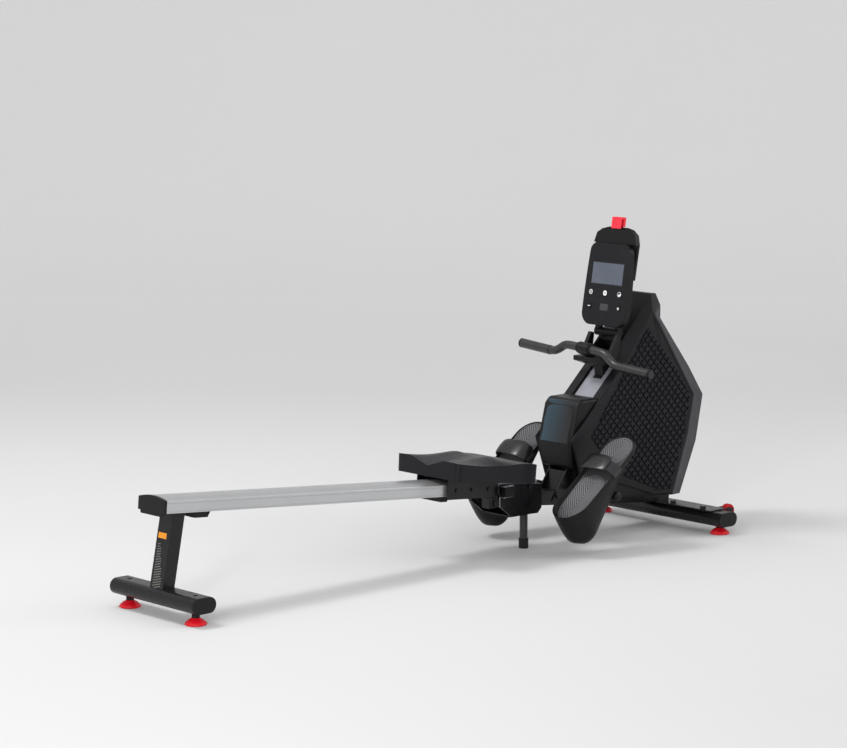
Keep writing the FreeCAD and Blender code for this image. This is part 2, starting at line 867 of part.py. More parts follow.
def column():
    """The channel's floor cover, and the printed metal label on it."""
    depth = "channel_depth"
    cover = column_plate("3", "60", "357", f"{depth} + 3.2", "channel_half - gap")
    slot = box("14", "30", "60", along("1690"), "0", "430")
    sub_part("column_cover", cut(cover, slot))
    label = column_plate("1.2", "160", "250", depth, "channel_half - 3")
    foot = box("48", "38", "200", along("1702"), "0", "400")
    sub_part("label_plate", cut(label, foot))


def pod_corners(extra):
    """The pod's side outline, with a margin for the opening that it stands in."""
    e = extra
    return [
        (along(f"1527 - {e}"), f"236 - {e}"),
        (along(f"1584 + {e}"), f"226 - {e}"),
        (along(f"1606 + {e}"), "300"),
        (along(f"1640 + {e}"), f"448 + {e}"),
        (along("1560"), f"448 + {e}"),
        (along(f"1545 - {e}"), f"432 + {e}"),
        (along(f"1511 - {e}"), "313"),
    ]


def pod():
    """The rounded cover over the column's foot, between the pedals: a hollow box, open to the front."""
    body = prism(pod_corners("0"), "2 * pod_half")
    round_edges(body, "12", lambda a, b: across(a, b) and (a.z > 400 or a.z < 240))
    core = prism(
        [
            (along("1533"), "242"),
            (along("1540"), "200"),
            (along("1700"), "200"),
            (along("1700"), "470"),
            (along("1640"), "444"),
            (along("1566"), "442"),
            (along("1551"), "430"),
            (along("1517"), "313"),
        ],
        "2 * (pod_half - 4)",
    )
    sub_part("pod_cover", cut(body, core))


def handle_cradle():
    """The strap's guide block on its pedestal, with a ledge under the handle and two horns behind it."""
    block = prism(
        [
            (along("1640"), "556"),
            (along("1690"), "540"),
            (along("1730"), "565"),
            (along("1724"), "580"),
            (along("1690"), "572"),
            (along("1668"), "571"),
            (along("1640"), "570"),
        ],
        "84",
    )
    pedestal = prism(
        [
            (along("1712"), "504.1"),
            (along("1742"), "532.5"),
            (along("1746"), "560"),
            (along("1724"), "570"),
            (along("1704"), "556"),
        ],
        "36",
    )
    horn = prism(
        [
            (along("1690"), "568"),
            (along("1724"), "560"),
            (along("1736"), "591"),
            (along("1742"), "632"),
            (along("1730"), "636"),
            (along("1716"), "612"),
        ],
        "14",
        "58",
    )
    bridge = box("30", "130", "14", along("1694"), "0", "562")
    slot = box("10", "strap_width + 8", "120", along("1668"), "0", "500")
    body = cut(fuse(block, horn, mirrored(horn), bridge), slot)
    sub_part("handle_cradle", fuse(body, pedestal))


# ---------------------------------------------------------------- handle
def bar_line(corners, reach):
    """Straight runs between corners, each inner corner rounded over reach on both sides."""
    edges, start = [], corners[0]
    for before, here, after in zip(corners, corners[1:], corners[2:]):
        back, on = (before - here).normalize(), (after - here).normalize()
        half = back.getAngle(on) / 2
        middle = here + (back + on).normalize() * (reach * (1 - math.sin(half)) / math.cos(half))
        edges.append(Part.makeLine(start, here + back * reach))
        start = here + on * reach
        edges.append(Part.Arc(here + back * reach, middle, start).toShape())
    edges.append(Part.makeLine(start, corners[-1]))
    return Part.Wire(edges)


def hold(solid):
    """Places a piece drawn about the handle's middle, rolled as the handle lies in its cradle."""
    solid.Placement = FreeCAD.Placement(V(), FreeCAD.Rotation(V(1, 0, 0), number("grab_roll")))
    return bind(
        solid,
        Placement__Base__x=along("grab_station"),
        Placement__Base__z="grab_height",
        Placement__Rotation__Angle="grab_roll",
    )


def handle():
    """The gull-wing bar with its two grips, and the clamp that holds the strap."""
    inner, outer = number("grab_bend_in"), number("grab_bend_out")
    drop, tip = number("grab_drop"), number("grab_half - 6")
    half = [V(0, -tip, -drop), V(0, -outer, -drop), V(0, -inner, 0)]
    path = bar_line(half + [V(0, -c.y, c.z) for c in reversed(half)], 27)
    start = Part.makeCircle(number("grab_tube"), half[0], V(0, 1, 0))
    bar = doc.addObject("Part::Feature", "HandleBar")
    bar.Shape = path.makePipeShell([Part.Wire([start])], True, True)
    sub_part("handle_bar", hold(bar))
    grips = []
    for y in ("-grab_half", "grab_half - grip_length"):
        grips.append(rod("grip_radius", "grip_length", "0", y, "-grab_drop", ALONG_Y))
    wall = rod("grab_tube", "2 * grab_half - 12", "0", "6 - grab_half", "-grab_drop", ALONG_Y)
    sub_part("handle_grips", hold(cut(group(*grips), wall)))
    collar = sleeve("19", "grab_tube", "46", "0", "-23", "0", ALONG_Y)
    lug = box("14", "30", "14", "14", "0", "-18")
    through = rod("grab_tube", "100", "0", "-50", "0", ALONG_Y)
    sub_part("handle_clamp", hold(cut(fuse(collar, lug), through)))


def strap():
    """The woven strap where it shows, from the clamp's lug down into the guide block."""
    x = along("1672")
    sub_part("pull_strap", box("strap_thick", "strap_width", "42", x, "0", "538.5"))


# ---------------------------------------------------------------- console
def on_console(*solids):
    """Carries solids drawn with z up the console's face and x into it to their leaning place."""
    return put(group(*solids), along("console_station"), "0", "console_height", angle="console_lean")


def face_outline(inset):
    """The console's face: a rounded rectangle, a little narrower at its top."""
    top = f"console_length - {inset}"
    low = f"console_half - {inset}"
    side = f"({low}) - 7"
    return [
        (f"-({low}) + 34", inset),
        (f"({low}) - 34", inset, "-8"),
        (low, f"{inset} + 34", "-2"),
        (side, f"({top}) - 26", "-7"),
        (f"({side}) - 26", top),
        (f"-({side}) + 26", top, "-7"),
        (f"-({side})", f"({top}) - 26", "-2"),
        (f"-({low})", f"{inset} + 34", "-8"),
    ]


def console():
    """The console: a back tray, a front face with its openings, the two displays and the five keys."""
    tray = doc.addObject("PartDesign::Body", "ConsoleBack")
    pad(tray, face_outline("0"), "YZ_Plane", "console_depth - 4", "2 + console_depth / 2")
    pocket(tray, face_outline("3"), "YZ_Plane", "console_depth - 4", "-1 + console_depth / 2")
    knuckles = []
    for y in ("neck_half + 0.5", "-neck_half - 17.5"):
        knuckles.append(rod("barrel_radius", "17", "barrel_in", y, "-barrel_down", ALONG_Y))
        web_y = f"{y} + 8.5"
        deep = "barrel_in + 8 - console_depth"
        knuckles.append(box(deep, "17", "barrel_down + 14", "console_depth - 1", web_y, "-barrel_down"))
    sub_part("console_back", on_console(fuse(tray, *knuckles)))
    face = doc.addObject("PartDesign::Body", "ConsoleFront")
    pad(face, face_outline("0.2"), "YZ_Plane", "3.8", "1.9")
    screen = frame_corners("0", "screen_rise", "screen_wide", "screen_high")
    small = frame_corners("0", "key_rise", "36", "22")
    pocket(face, screen, "YZ_Plane", "20")
    pocket(face, small, "YZ_Plane", "20")
    holes = [
        rod("button_radius + 0.3", "20", "-8", y, z, ALONG_X) for y, z in key_places().values()
    ]
    sub_part("console_front", on_console(cut(face, group(*holes))))
    panes = []
    windows = (("screen_rise", "screen_wide - 0.4", "screen_high - 0.4"), ("key_rise", "35.6", "21.6"))
    for z, wide, high in windows:
        panes.append(box("3", wide, high, "0.6", "0", f"({z}) - ({high}) / 2"))
    sub_part("console_screens", on_console(*panes))
    for name, (y, z) in key_places().items():
        key = fuse(
            rod("button_radius", "5 + button_stand", "-button_stand", y, z, ALONG_X),
            rod("button_radius + 1.2", "1.2", "5.2", y, z, ALONG_X),
        )
        sub_part(f"{name}_button", on_console(key))


def frame_corners(y, z, wide, high):
    """A rectangle's four corners about a middle."""
    return [
        (f"{y} - {wide} / 2", f"{z} - {high} / 2"),
        (f"{y} + {wide} / 2", f"{z} - {high} / 2"),
        (f"{y} + {wide} / 2", f"{z} + {high} / 2"),
        (f"{y} - {wide} / 2", f"{z} + {high} / 2"),
    ]


def key_places():
    """Where each key's middle is on the face, as seen by the rower from left to right."""
    return {
        "programme": ("button_side", "button_rise"),
        "start": ("0", "button_rise"),
        "display": ("-button_side", "button_rise"),
        "minus": ("button_side + 2", "key_rise"),
        "plus": ("-button_side - 2", "key_rise"),
    }


def phone_holder():
    """The domed back rest with its thick brow, and the sprung clip on its top edge."""
    rest = doc.addObject("PartDesign::Body", "PhoneRest")
    dome = [
        ("-88", "150"),
        ("88", "150"),
        ("91", "262"),
        ("82", "290"),
        ("60", "306"),
        ("38", "311"),
        ("-38", "311"),
        ("-60", "306"),
        ("-82", "290"),
        ("-91", "262"),
    ]
    pad(rest, dome, "YZ_Plane", "9", "console_depth + 5")
    brow = [
        ("-91", "259"),
        ("91", "259"),
        ("82", "290"),
        ("60", "304"),
        ("-60", "304"),
        ("-82", "290"),
    ]
    pad(rest, brow, "YZ_Plane", "9", "console_depth - 3.5")
    slot = box("3.4", "34", "110", "console_depth + 3.3", "0", "214")
    sub_part("phone_rest", on_console(cut(rest, slot)))
    blade = box("2.6", "30", "104", "console_depth + 3.7", "0", "232")
    tab = box("8", "40", "30", "console_depth + 1", "0", "313")
    hook = box("14", "40", "6", "console_depth - 12", "0", "336")
    lip = box("3", "40", "36", "console_depth - 12", "0", "306")
    sub_part("phone_clip", on_console(fuse(blade, tab, hook, lip)))


def barrel_place():
    """Station and height of the console's tilt axis."""
    lean = "console_lean"
    station = f"console_station + barrel_in * cos({lean}) - barrel_down * sin({lean})"
    height = f"console_height - barrel_in * sin({lean}) - barrel_down * cos({lean})"
    return station, height


def neck_corners(extra):
    """The side outline of the neck's arm, from the tilt axis into the column's head."""
    e = extra
    return [
        (along(f"1752 - {e}"), f"612 - {e}"),
        (along(f"1790 - {e}"), f"578 - {e}"),
        (along(f"1848 + {e}"), f"588 - {e}"),
        (along(f"1848 + {e}"), f"640 + {e}"),
        (along(f"1790 - {e}"), f"645 + {e}"),
        (along(f"1752 - {e}"), f"640 + {e}"),
    ]


def console_neck():
    """The arm from the column's head that carries the console's tilt barrel."""
    station, height = barrel_place()
    arm = prism(neck_corners("0"), "2 * neck_half")
    barrel = rod("barrel_radius", "2 * neck_half", along(station), "-neck_half", height, ALONG_Y)
    sub_part("console_neck", fuse(arm, barrel))


# ---------------------------------------------------------------- pedals
def on_pedal(solid):
    """Carries a solid drawn with x from heel to toe and z off the sole plate to its place."""
    return put(
        group(solid), along("heel_station"), "-pedal_side", "heel_height", angle="-pedal_slope"
    )


def plan(half, low, high, bottom, top):
    """A stadium-shaped slab seen from above, between two levels."""
    centre_low, centre_high = f"{low} + {half}", f"{high} - {half}"
    corners = [
        (centre_low, f"-({half})"),
        (centre_high, f"-({half})", f"-({half}) * 0.999"),
        (centre_high, half),
        (centre_low, half, f"-({half}) * 0.999"),
    ]
    body = doc.addObject("PartDesign::Body", "Plan")
    pad(body, corners, "XY_Plane", f"({top}) - ({bottom})", f"(({top}) + ({bottom})) / 2")
    return body


def footplate():
    """The foot's tray: a deep heel bowl running out into a thin toe plate, with a raised rim."""
    toe_plate = [
        ("-14", "30"),
        ("-14", "-20"),
        ("135", "-38"),
        ("165", "-18"),
        ("pedal_length", "-12"),
        ("pedal_length", "7"),
        ("130", "7"),
        ("60", "22"),
    ]
    bowl = [
        ("-15", "-8"),
        ("-30", "-58"),
        ("-18", "-88"),
        ("14", "-104"),
        ("66", "-94"),
        ("135", "-38"),
        ("135", "-8"),
    ]
    wide = "2 * pedal_half + 10"
    tray = common(prism(toe_plate, wide), plan("pedal_half", "-12", "pedal_length", "-60", "60"))
    heel = common(prism(bowl, wide), plan("pedal_half - 1", "-32", "pedal_length", "-110", "60"))
    whole = fuse(tray, heel)
    half = "pedal_half - pedal_wall"
    hollow = plan(half, "-12 + pedal_wall", "pedal_length - pedal_wall", "0", "70")
    forward, up = "(pedal_axle_station - heel_station)", "(pedal_axle_height - heel_height)"
    x = f"{forward} * cos(pedal_slope) + {up} * sin(pedal_slope)"
    z = f"{up} * cos(pedal_slope) - {forward} * sin(pedal_slope)"
    boss = rod("13", "2 * pedal_half - 20", x, "10 - pedal_half", z, ALONG_Y)
    ribs = box("26", "2 * pedal_half - 20", f"-5 - ({z})", f"{x} - 13", "0", z)
    bore = rod("7 + pin_play", "300", x, "-150", z, ALONG_Y)
    return cut(cut(fuse(whole, boss, ribs), hollow), bore)


def foot_strap():
    """The instep band: a low arch over the sole plate from side to side."""
    def arch(half, rise, extra):
        x, wide = f"186 - {extra}", f"44 + 2 * {extra}"
        radius = f"(({half}) ^ 2 + ({rise}) ^ 2) / (2 * ({rise}))"
        disc = rod(radius, wide, x, "0", f"8 + ({rise}) - {radius}", ALONG_X)
        return common(disc, box(wide, f"2 * ({half})", "80", x, "0", "-16"))

    outside = arch("strap_half", "strap_rise", "0")
    inside = arch("strap_half - band", "strap_rise - band", "20")
    return cut(outside, inside)


def pedals():
    """The two mirrored pedals: tray, sole pad and strap."""
    half = "pedal_half - pedal_wall - 0.2"
    sole = plan(half, "-12 + pedal_wall + 0.2", "pedal_length - pedal_wall - 0.2", "0", "4")
    pieces = {"footplate": footplate(), "foot_pad": sole, "foot_strap": foot_strap()}
    for name, solid in pieces.items():
        near = on_pedal(solid)
        sub_part(f"{name}_right", near)
        sub_part(f"{name}_left", mirrored(near))


# ---------------------------------------------------------------- seat
ROLLERS = {"rear_seat": "-325", "front_seat": "-165"}


def seat():
    """The foam pad, its inverted steel channel over the rail and the rollers' axles."""
    foam = prism(
        [
            ("-370", "38"),
            ("-8", "16"),
            ("-8", "62"),
            ("-20", "72"),
            ("-110", "81"),
            ("-185", "96"),
            ("-374", "91"),
        ],
        "2 * seat_half",
    )
    half = number("seat_half")

    def upright(a, b):
        on_side = abs(a.y - b.y) < 0.01 and abs(abs(a.y) - half) < 0.01
        return on_side and (max(a.x, b.x) < -360 or min(a.x, b.x) > -9)

    round_edges(foam, "30", upright)
    recess = box("400", "156", "120", "-352", "0", "base_level - 120 + 3.4")
    sub_part("seat_pad", on_rail(cut(foam, recess)))
    top = box("230", "2 * base_inside + 6", "3", "-350", "0", "base_level")
    sides = []
    for y in ("base_inside + 1.5", "-base_inside - 1.5"):
        sides.append(box("206", "3", "base_level + 27", "-346", y, "-26"))
    sub_part("seat_base", on_rail(fuse(top, *sides)))
    axles = []
    bolts = []
    for x in ROLLERS.values():
        axles.append(rod("seat_axle", "2 * base_inside", x, "-base_inside", "roller_level", ALONG_Y))
    for x in ("-309", "-246", "-178"):
        for y in ("base_inside + 3", "-base_inside - 7"):
            bolts.append(rod("6.5", "4", x, y, "0", ALONG_Y))
    sub_part("seat_axles", on_rail(*axles, *bolts))
    for name, x in ROLLERS.items():
        wheels = [
            sleeve("roller_radius", "seat_axle + pin_play", "roller_width", x,
                   f"{side} - roller_width / 2", "roller_level", ALONG_Y)
            for side in ("roller_side", "-roller_side")
        ]
        sub_part(f"{name}_rollers", on_rail(*wheels))


# ---------------------------------------------------------------- build
def check_and_write():
    """Refuses any failed object or bad shape, then writes each sub-part to its own file."""
    doc.recompute()
    for thing in doc.Objects:
        if {"Invalid", "Error"} & set(thing.State):
            raise ValueError(f"{thing.Label} failed: {thing.State}")
    for solid in SUB_PARTS:
        if solid.Shape.isNull() or not solid.Shape.isValid() or not solid.Shape.Solids:
            raise ValueError(f"{solid.Label} has no valid shape")
    os.makedirs("parts", exist_ok=True)
    for solid in SUB_PARTS:
        solid.Shape.exportStep(f"parts/{solid.Label}.step")
    print(len(SUB_PARTS), "sub-parts written")


bars_and_feet()
rail()
rail_end_cap()
rail_fittings()
rear_post()
main_beam()
side_plates()
hinge_bracket()
lock_pin()
pins_and_axles()
middle_leg()
transport_wheel("transport_wheel_left", "wheel_side")
transport_wheel("transport_wheel_right", "-wheel_side")
frame_fasteners()
flywheel()
spool()
drive_belt()
housing()
column()
pod()
handle_cradle()
handle()
strap()
console()
phone_holder()
console_neck()
pedals()
seat()
check_and_write()
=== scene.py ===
import json
import math

import bmesh
import bpy
from mathutils import Matrix, Vector


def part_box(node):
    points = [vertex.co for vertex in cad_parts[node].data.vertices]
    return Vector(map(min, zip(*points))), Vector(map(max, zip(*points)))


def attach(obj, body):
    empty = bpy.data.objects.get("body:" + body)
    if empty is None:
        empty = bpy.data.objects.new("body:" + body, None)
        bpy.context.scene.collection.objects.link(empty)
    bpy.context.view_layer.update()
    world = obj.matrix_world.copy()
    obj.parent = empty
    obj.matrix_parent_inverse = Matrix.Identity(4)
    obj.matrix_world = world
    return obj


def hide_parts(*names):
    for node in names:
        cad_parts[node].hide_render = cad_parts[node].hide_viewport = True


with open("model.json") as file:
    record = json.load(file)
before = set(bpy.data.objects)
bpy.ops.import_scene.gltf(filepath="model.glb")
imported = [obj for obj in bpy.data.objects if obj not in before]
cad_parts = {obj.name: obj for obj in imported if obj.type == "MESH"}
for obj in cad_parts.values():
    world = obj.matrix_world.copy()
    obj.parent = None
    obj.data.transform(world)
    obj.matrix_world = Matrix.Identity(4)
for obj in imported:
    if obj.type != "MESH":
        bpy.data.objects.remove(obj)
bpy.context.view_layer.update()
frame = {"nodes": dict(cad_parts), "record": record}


# ---------------------------------------------------------------- places read from the frame
def middle(node):
    """The middle of a CAD node's box."""
    low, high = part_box(node)
    return (Vector(low) + Vector(high)) / 2


REACH = -middle("rear_bar").x
COLUMN_SLOPE = 43.4  # degrees
HANDLE_ROLL = 4.5  # degrees
POST_LEAN = 11  # degrees


def at(station, side, height):
    """A point from its distance in front of the rear feet, its side and its height, in millimetres."""
    return Vector((station / 1000 - REACH, side / 1000, height / 1000))


def slanted(origin, slope):
    """The matrix of a local frame whose x runs up a slope in the XZ plane, in degrees."""
    return Matrix.Translation(origin) @ Matrix.Rotation(math.radians(-slope), 4, "Y")


RAIL = slanted(at(1350, 0, 205), -4.5)
CONSOLE = slanted(at(1721, 0, 660), -8.9)
COLUMN = slanted(at(1480, 0, 471 - 183 * math.tan(math.radians(COLUMN_SLOPE))), COLUMN_SLOPE)
HANDLE = Matrix.Translation(at(1650, 0, 594)) @ Matrix.Rotation(math.radians(HANDLE_ROLL), 4, "X")


def in_metres(points):
    """Points in millimetres, as metres."""
    return [tuple(c / 1000 for c in point) for point in points]


# ---------------------------------------------------------------- materials
def nodes_of(name):
    """A new material with its shader, its object coordinates and its node tree."""
    material = bpy.data.materials.new(name)
    material.use_nodes = True
    tree = material.node_tree
    shader = tree.nodes["Principled BSDF"]
    coords = tree.nodes.new("ShaderNodeTexCoord")
    return material, tree, shader, coords


def mapped(tree, coords, scale, turn=(0, 0, 0)):
    """Object coordinates, turned and scaled."""
    mapping = tree.nodes.new("ShaderNodeMapping")
    mapping.inputs["Rotation"].default_value = [math.radians(a) for a in turn]
    mapping.inputs["Scale"].default_value = scale
    tree.links.new(coords.outputs["Object"], mapping.inputs["Vector"])
    return mapping.outputs["Vector"]


def noise(tree, vector, scale, detail=4.0, roughness=0.55):
    """A noise texture's value."""
    node = tree.nodes.new("ShaderNodeTexNoise")
    node.inputs["Scale"].default_value = scale
    node.inputs["Detail"].default_value = detail
    node.inputs["Roughness"].default_value = roughness
    tree.links.new(vector, node.inputs["Vector"])
    return node.outputs["Fac"]


def spread(tree, value, low, high, start=0.3, end=0.7):
    """A value stretched between two levels."""
    node = tree.nodes.new("ShaderNodeMapRange")
    node.inputs["From Min"].default_value = start
    node.inputs["From Max"].default_value = end
    node.inputs["To Min"].default_value = low
    node.inputs["To Max"].default_value = high
    tree.links.new(value, node.inputs["Value"])
    return node.outputs["Result"]


def tones(tree, value, dark, light):
    """A colour between two, picked by a value."""
    ramp = tree.nodes.new("ShaderNodeValToRGB")
    ramp.color_ramp.elements[0].position = 0.3
    ramp.color_ramp.elements[1].position = 0.7
    ramp.color_ramp.elements[0].color = (*dark, 1)
    ramp.color_ramp.elements[1].color = (*light, 1)
    tree.links.new(value, ramp.inputs["Fac"])
    return ramp.outputs["Color"]


def bumped(tree, shader, height, strength, distance):
    """A bump from a height, added over any bump that the shader already has."""
    bump = tree.nodes.new("ShaderNodeBump")
    bump.inputs["Strength"].default_value = strength
    bump.inputs["Distance"].default_value = distance
    tree.links.new(height, bump.inputs["Height"])
    links = shader.inputs["Normal"].links
    if links:
        tree.links.new(links[0].from_socket, bump.inputs["Normal"])
    tree.links.new(bump.outputs["Normal"], shader.inputs["Normal"])


def shade(color, factor):
    """A colour made darker or lighter."""
    return tuple(min(1.0, c * factor) for c in color)


def finish(name, color, rough, metal=0.0, vary=0.2, grain=900, depth=0.0002, stretch=(1, 1, 1),
           coat=0.0, sheen=0.0, spec=0.3, wear=0.06):
    """A material with broad tone changes, a fine grain, and roughness that wanders with wear."""
    material, tree, shader, coords = nodes_of(name)
    vector = mapped(tree, coords, stretch)
    plain = mapped(tree, coords, (1, 1, 1))
    broad = noise(tree, plain, 9.0, 6.0)
    fine = noise(tree, vector, grain, 3.0, 0.6)
    colour = tones(tree, broad, shade(color, 1 - vary), shade(color, 1 + vary))
    tree.links.new(colour, shader.inputs["Base Color"])
    rub = noise(tree, mapped(tree, coords, (1, 1.3, 0.8)), 38.0, 8.0, 0.7)
    tree.links.new(spread(tree, rub, rough - wear, rough + wear), shader.inputs["Roughness"])
    bumped(tree, shader, fine, 0.35, depth)
    shader.inputs["Metallic"].default_value = metal
    shader.inputs["Coat Weight"].default_value = coat
    shader.inputs["Coat Roughness"].default_value = 0.12
    shader.inputs["Sheen Weight"].default_value = sheen
    shader.inputs["Specular IOR Level"].default_value = spec
    return material


def moulded(name, color, rough, cell=1400, depth=0.00025, **more):
    """A moulded plastic or rubber with a fine pebbled grain."""
    material = finish(name, color, rough, **more)
    tree = material.node_tree
    shader = tree.nodes["Principled BSDF"]
    coords = next(n for n in tree.nodes if n.type == "TEX_COORD")
    cells = tree.nodes.new("ShaderNodeTexVoronoi")
    cells.inputs["Scale"].default_value = cell
    tree.links.new(coords.outputs["Object"], cells.inputs["Vector"])
    bumped(tree, shader, cells.outputs["Distance"], 0.3, depth)
    return material


def woven(name, color, rough, pitch, turn=(0, 0, 0), depth=0.0006):
    """A woven webbing: two crossed waves with a fibre noise."""
    material = finish(name, color, rough, vary=0.3, grain=2500, sheen=0.3)
    tree = material.node_tree
    shader = tree.nodes["Principled BSDF"]
    coords = next(n for n in tree.nodes if n.type == "TEX_COORD")
    vector = mapped(tree, coords, (1, 1, 1), turn)
    for direction in ("X", "Y"):
        wave = tree.nodes.new("ShaderNodeTexWave")
        wave.bands_direction = direction
        wave.inputs["Scale"].default_value = 0.314 / pitch
        wave.inputs["Distortion"].default_value = 0.6
        tree.links.new(vector, wave.inputs["Vector"])
        bumped(tree, shader, wave.outputs["Fac"], 0.5, depth)
    return material


def gloss_with_painted_reflection(name, left, right):
    """A polished lacquer with a painted reflection: its colour falls from a lit blue tone on one side of
    the machine to a dark tone on the other.
    """
    material = finish(name, left, 0.12, coat=0.3, grain=120, depth=0.00003, spec=0.35)
    tree = material.node_tree
    shader = tree.nodes["Principled BSDF"]
    coords = next(n for n in tree.nodes if n.type == "TEX_COORD")
    split = tree.nodes.new("ShaderNodeSeparateXYZ")
    tree.links.new(coords.outputs["Object"], split.inputs["Vector"])
    # Painted reflection: the left colour, a lit blue, on the machine's left side blends into the dark right
    # colour on its right side.
    blend = tree.nodes.new("ShaderNodeMixRGB")
    tree.links.new(spread(tree, split.outputs["Y"], 0.0, 1.0, -0.04, 0.045), blend.inputs["Fac"])
    blend.inputs["Color1"].default_value = (*right, 1)
    tree.links.new(shader.inputs["Base Color"].links[0].from_socket, blend.inputs["Color2"])
    tree.links.new(blend.outputs["Color"], shader.inputs["Base Color"])
    return material


def all_materials():
    """Every finish on the machine, by the record's slot name, and a few for the parts of a slot."""
    brushed = (0.5, 45, 45)
    made = {
        "black_paint": finish("black_paint", (0.005, 0.005, 0.006), 0.3, grain=1300, depth=0.00015,
                              spec=0.32),
        "rail_aluminium": finish("rail_aluminium", (0.5, 0.505, 0.51), 0.36, 0.75, 0.04, 90, 0.0001,
                                 brushed, spec=0.5),
        "bright_steel": finish("bright_steel", (0.02, 0.02, 0.022), 0.3, 0.2, 0.15, 400, spec=0.5),
        "zinc_steel": finish("zinc_steel", (0.16, 0.16, 0.16), 0.3, 0.9, 0.2, 300, 0.0001, spec=0.5),
        "flywheel_iron": finish("flywheel_iron", (0.17, 0.17, 0.18), 0.45, 0.9, 0.25, 500, spec=0.5),
        "charcoal_plastic": moulded("charcoal_plastic", (0.0065, 0.0065, 0.008), 0.45, spec=0.22),
        "black_plastic": moulded("black_plastic", (0.0045, 0.0045, 0.005), 0.4, spec=0.22),
        "gloss_black": finish("gloss_black", (0.006, 0.011, 0.016), 0.14, coat=0.6, grain=120,
                              depth=0.00003),
        "red_plastic": moulded("red_plastic", (0.66, 0.004, 0.014), 0.42, vary=0.1),
        "coral_plastic": moulded("coral_plastic", (0.83, 0.028, 0.05), 0.5, vary=0.08),
        "grey_rubber": moulded("grey_rubber", (0.05, 0.05, 0.052), 0.6, vary=0.15),
        "black_rubber": moulded("black_rubber", (0.008, 0.008, 0.008), 0.75, cell=700),
        "grip_foam": moulded("grip_foam", (0.012, 0.012, 0.013), 0.5, cell=1600, sheen=0.06),
        "seat_foam": moulded("seat_foam", (0.0062, 0.006, 0.0085), 0.4, cell=520, depth=0.0003,
                             sheen=0.03, spec=0.18),
        "webbing": woven("webbing", (0.014, 0.014, 0.016), 0.7, 0.0021),
        "label_silver": finish("label_silver", (0.33, 0.33, 0.37), 0.4, 0.3, 0.08, 700, 0.00005),
        "screen_dark": finish("screen_dark", (0.012, 0.0125, 0.016), 0.2, coat=0.4, vary=0.12, grain=60,
                              depth=0.00002),
        "copper_coil": finish("copper_coil", (0.45, 0.19, 0.08), 0.35, 0.9, 0.2, 60, 0.0008, (30, 1, 30)),
    }
    extra = {
        # A lighter grey: a painted highlight on the housing band's front faces, and also the finish of the
        # grip rings and the console's fine line.
        "grey_trim_and_painted_lit_band": moulded("grey_trim_and_painted_lit_band", (0.031, 0.029, 0.035), 0.5, spec=0.25),
        "waffle": moulded("waffle", (0.0075, 0.007, 0.0105), 0.42, spec=0.18),
        "icon_white": finish("icon_white", (0.86, 0.86, 0.86), 0.4, vary=0.04, grain=300),
        "lcd_grey": finish("lcd_grey", (0.085, 0.10, 0.13), 0.25, vary=0.1, grain=60, depth=0.00002,
                           coat=0.3),
        "lcd_small": finish("lcd_small", (0.05, 0.05, 0.055), 0.3, vary=0.1, grain=60, depth=0.00002),
        "rib_grey": moulded("rib_grey", (0.17, 0.17, 0.18), 0.5),
        "saddle": finish("saddle", (0.008, 0.008, 0.009), 0.3, grain=1200, depth=0.00005, spec=0.45),
        "dark_bolt": finish("dark_bolt", (0.012, 0.012, 0.013), 0.32, 0.2, 0.2, 300, 0.0001),
        "bar_satin": moulded("bar_satin", (0.018, 0.018, 0.019), 0.3, cell=1800, depth=0.0001, spec=0.5),
        "tyre_red": moulded("tyre_red", (0.5, 0.004, 0.011), 0.6, cell=900, vary=0.12),
        # A bright chrome used only for thin strips that stand in as painted highlights on dark edges.
        "chrome_painted_highlight": finish("chrome_painted_highlight", (0.75, 0.75, 0.77), 0.2, 1.0, 0.05, 300, 0.00005,
                              spec=0.5),
        "orange_print": finish("orange_print", (0.9, 0.33, 0.02), 0.45, vary=0.05),
        "grey_print": finish("grey_print", (0.24, 0.24, 0.22), 0.5, vary=0.15),
    }
    # The pod panel's colour is a painted reflection: light blue on the machine's left, fading to near black
    # on its right.
    extra["pod_gloss_painted_reflection"] = gloss_with_painted_reflection("pod_gloss_painted_reflection", (0.010, 0.034, 0.052), (0.002, 0.003, 0.005))
    return made, extra


SLOT, EXTRA = all_materials()
SLOT_OF = {s["node"]: s["material_slot"] for s in frame["record"]["subparts"]}
EDGES = {"console_front": 0.003, "console_back": 0.004, "rear_post": 0.004, "phone_rest": 0.003,
         "phone_clip": 0.002, "seat_base": 0.001, "lock_pin": 0.003, "handle_cradle": 0.002,
         "column_cover": 0.0005}
USUAL_EDGE = 0.0012


def dress_nodes():
    """Every CAD node gets its slot's finish, save the bolts and pins, which get a dark one, and all but a
    few sharp ones get a small rounding on their edges.
    """
    sharp = {"rail", "drive_belt", "foot_pad_left", "foot_pad_right", "seat_axles", "pull_strap"}
    dark = {"seat_axles", "pins_and_axles", "frame_fasteners"}
    for name, node in frame["nodes"].items():
        node.data.materials.clear()
        node.data.materials.append(EXTRA["dark_bolt"] if name in dark else SLOT[SLOT_OF[name]])
        if name not in sharp:
            soften(node, EDGES.get(name, USUAL_EDGE))


def soften(obj, width, segments=3, angle=35):
    """Rounded edges that catch the light, and smooth shading with hard creases kept."""
    bevel = obj.modifiers.new("edges", "BEVEL")
    bevel.width = width
    bevel.segments = segments
    bevel.limit_method = "ANGLE"
    bevel.angle_limit = math.radians(angle)
    bevel.harden_normals = True
    for face in obj.data.polygons:
        face.use_smooth = True


# ---------------------------------------------------------------- piece building
def placed(obj, body, stands_for):
    """Links an object to the scene, rides it on a body and hides the CAD parts that it stands for."""
    bpy.context.scene.collection.objects.link(obj)
    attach(obj, body)
    if stands_for:
        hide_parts(*stands_for)
    return obj


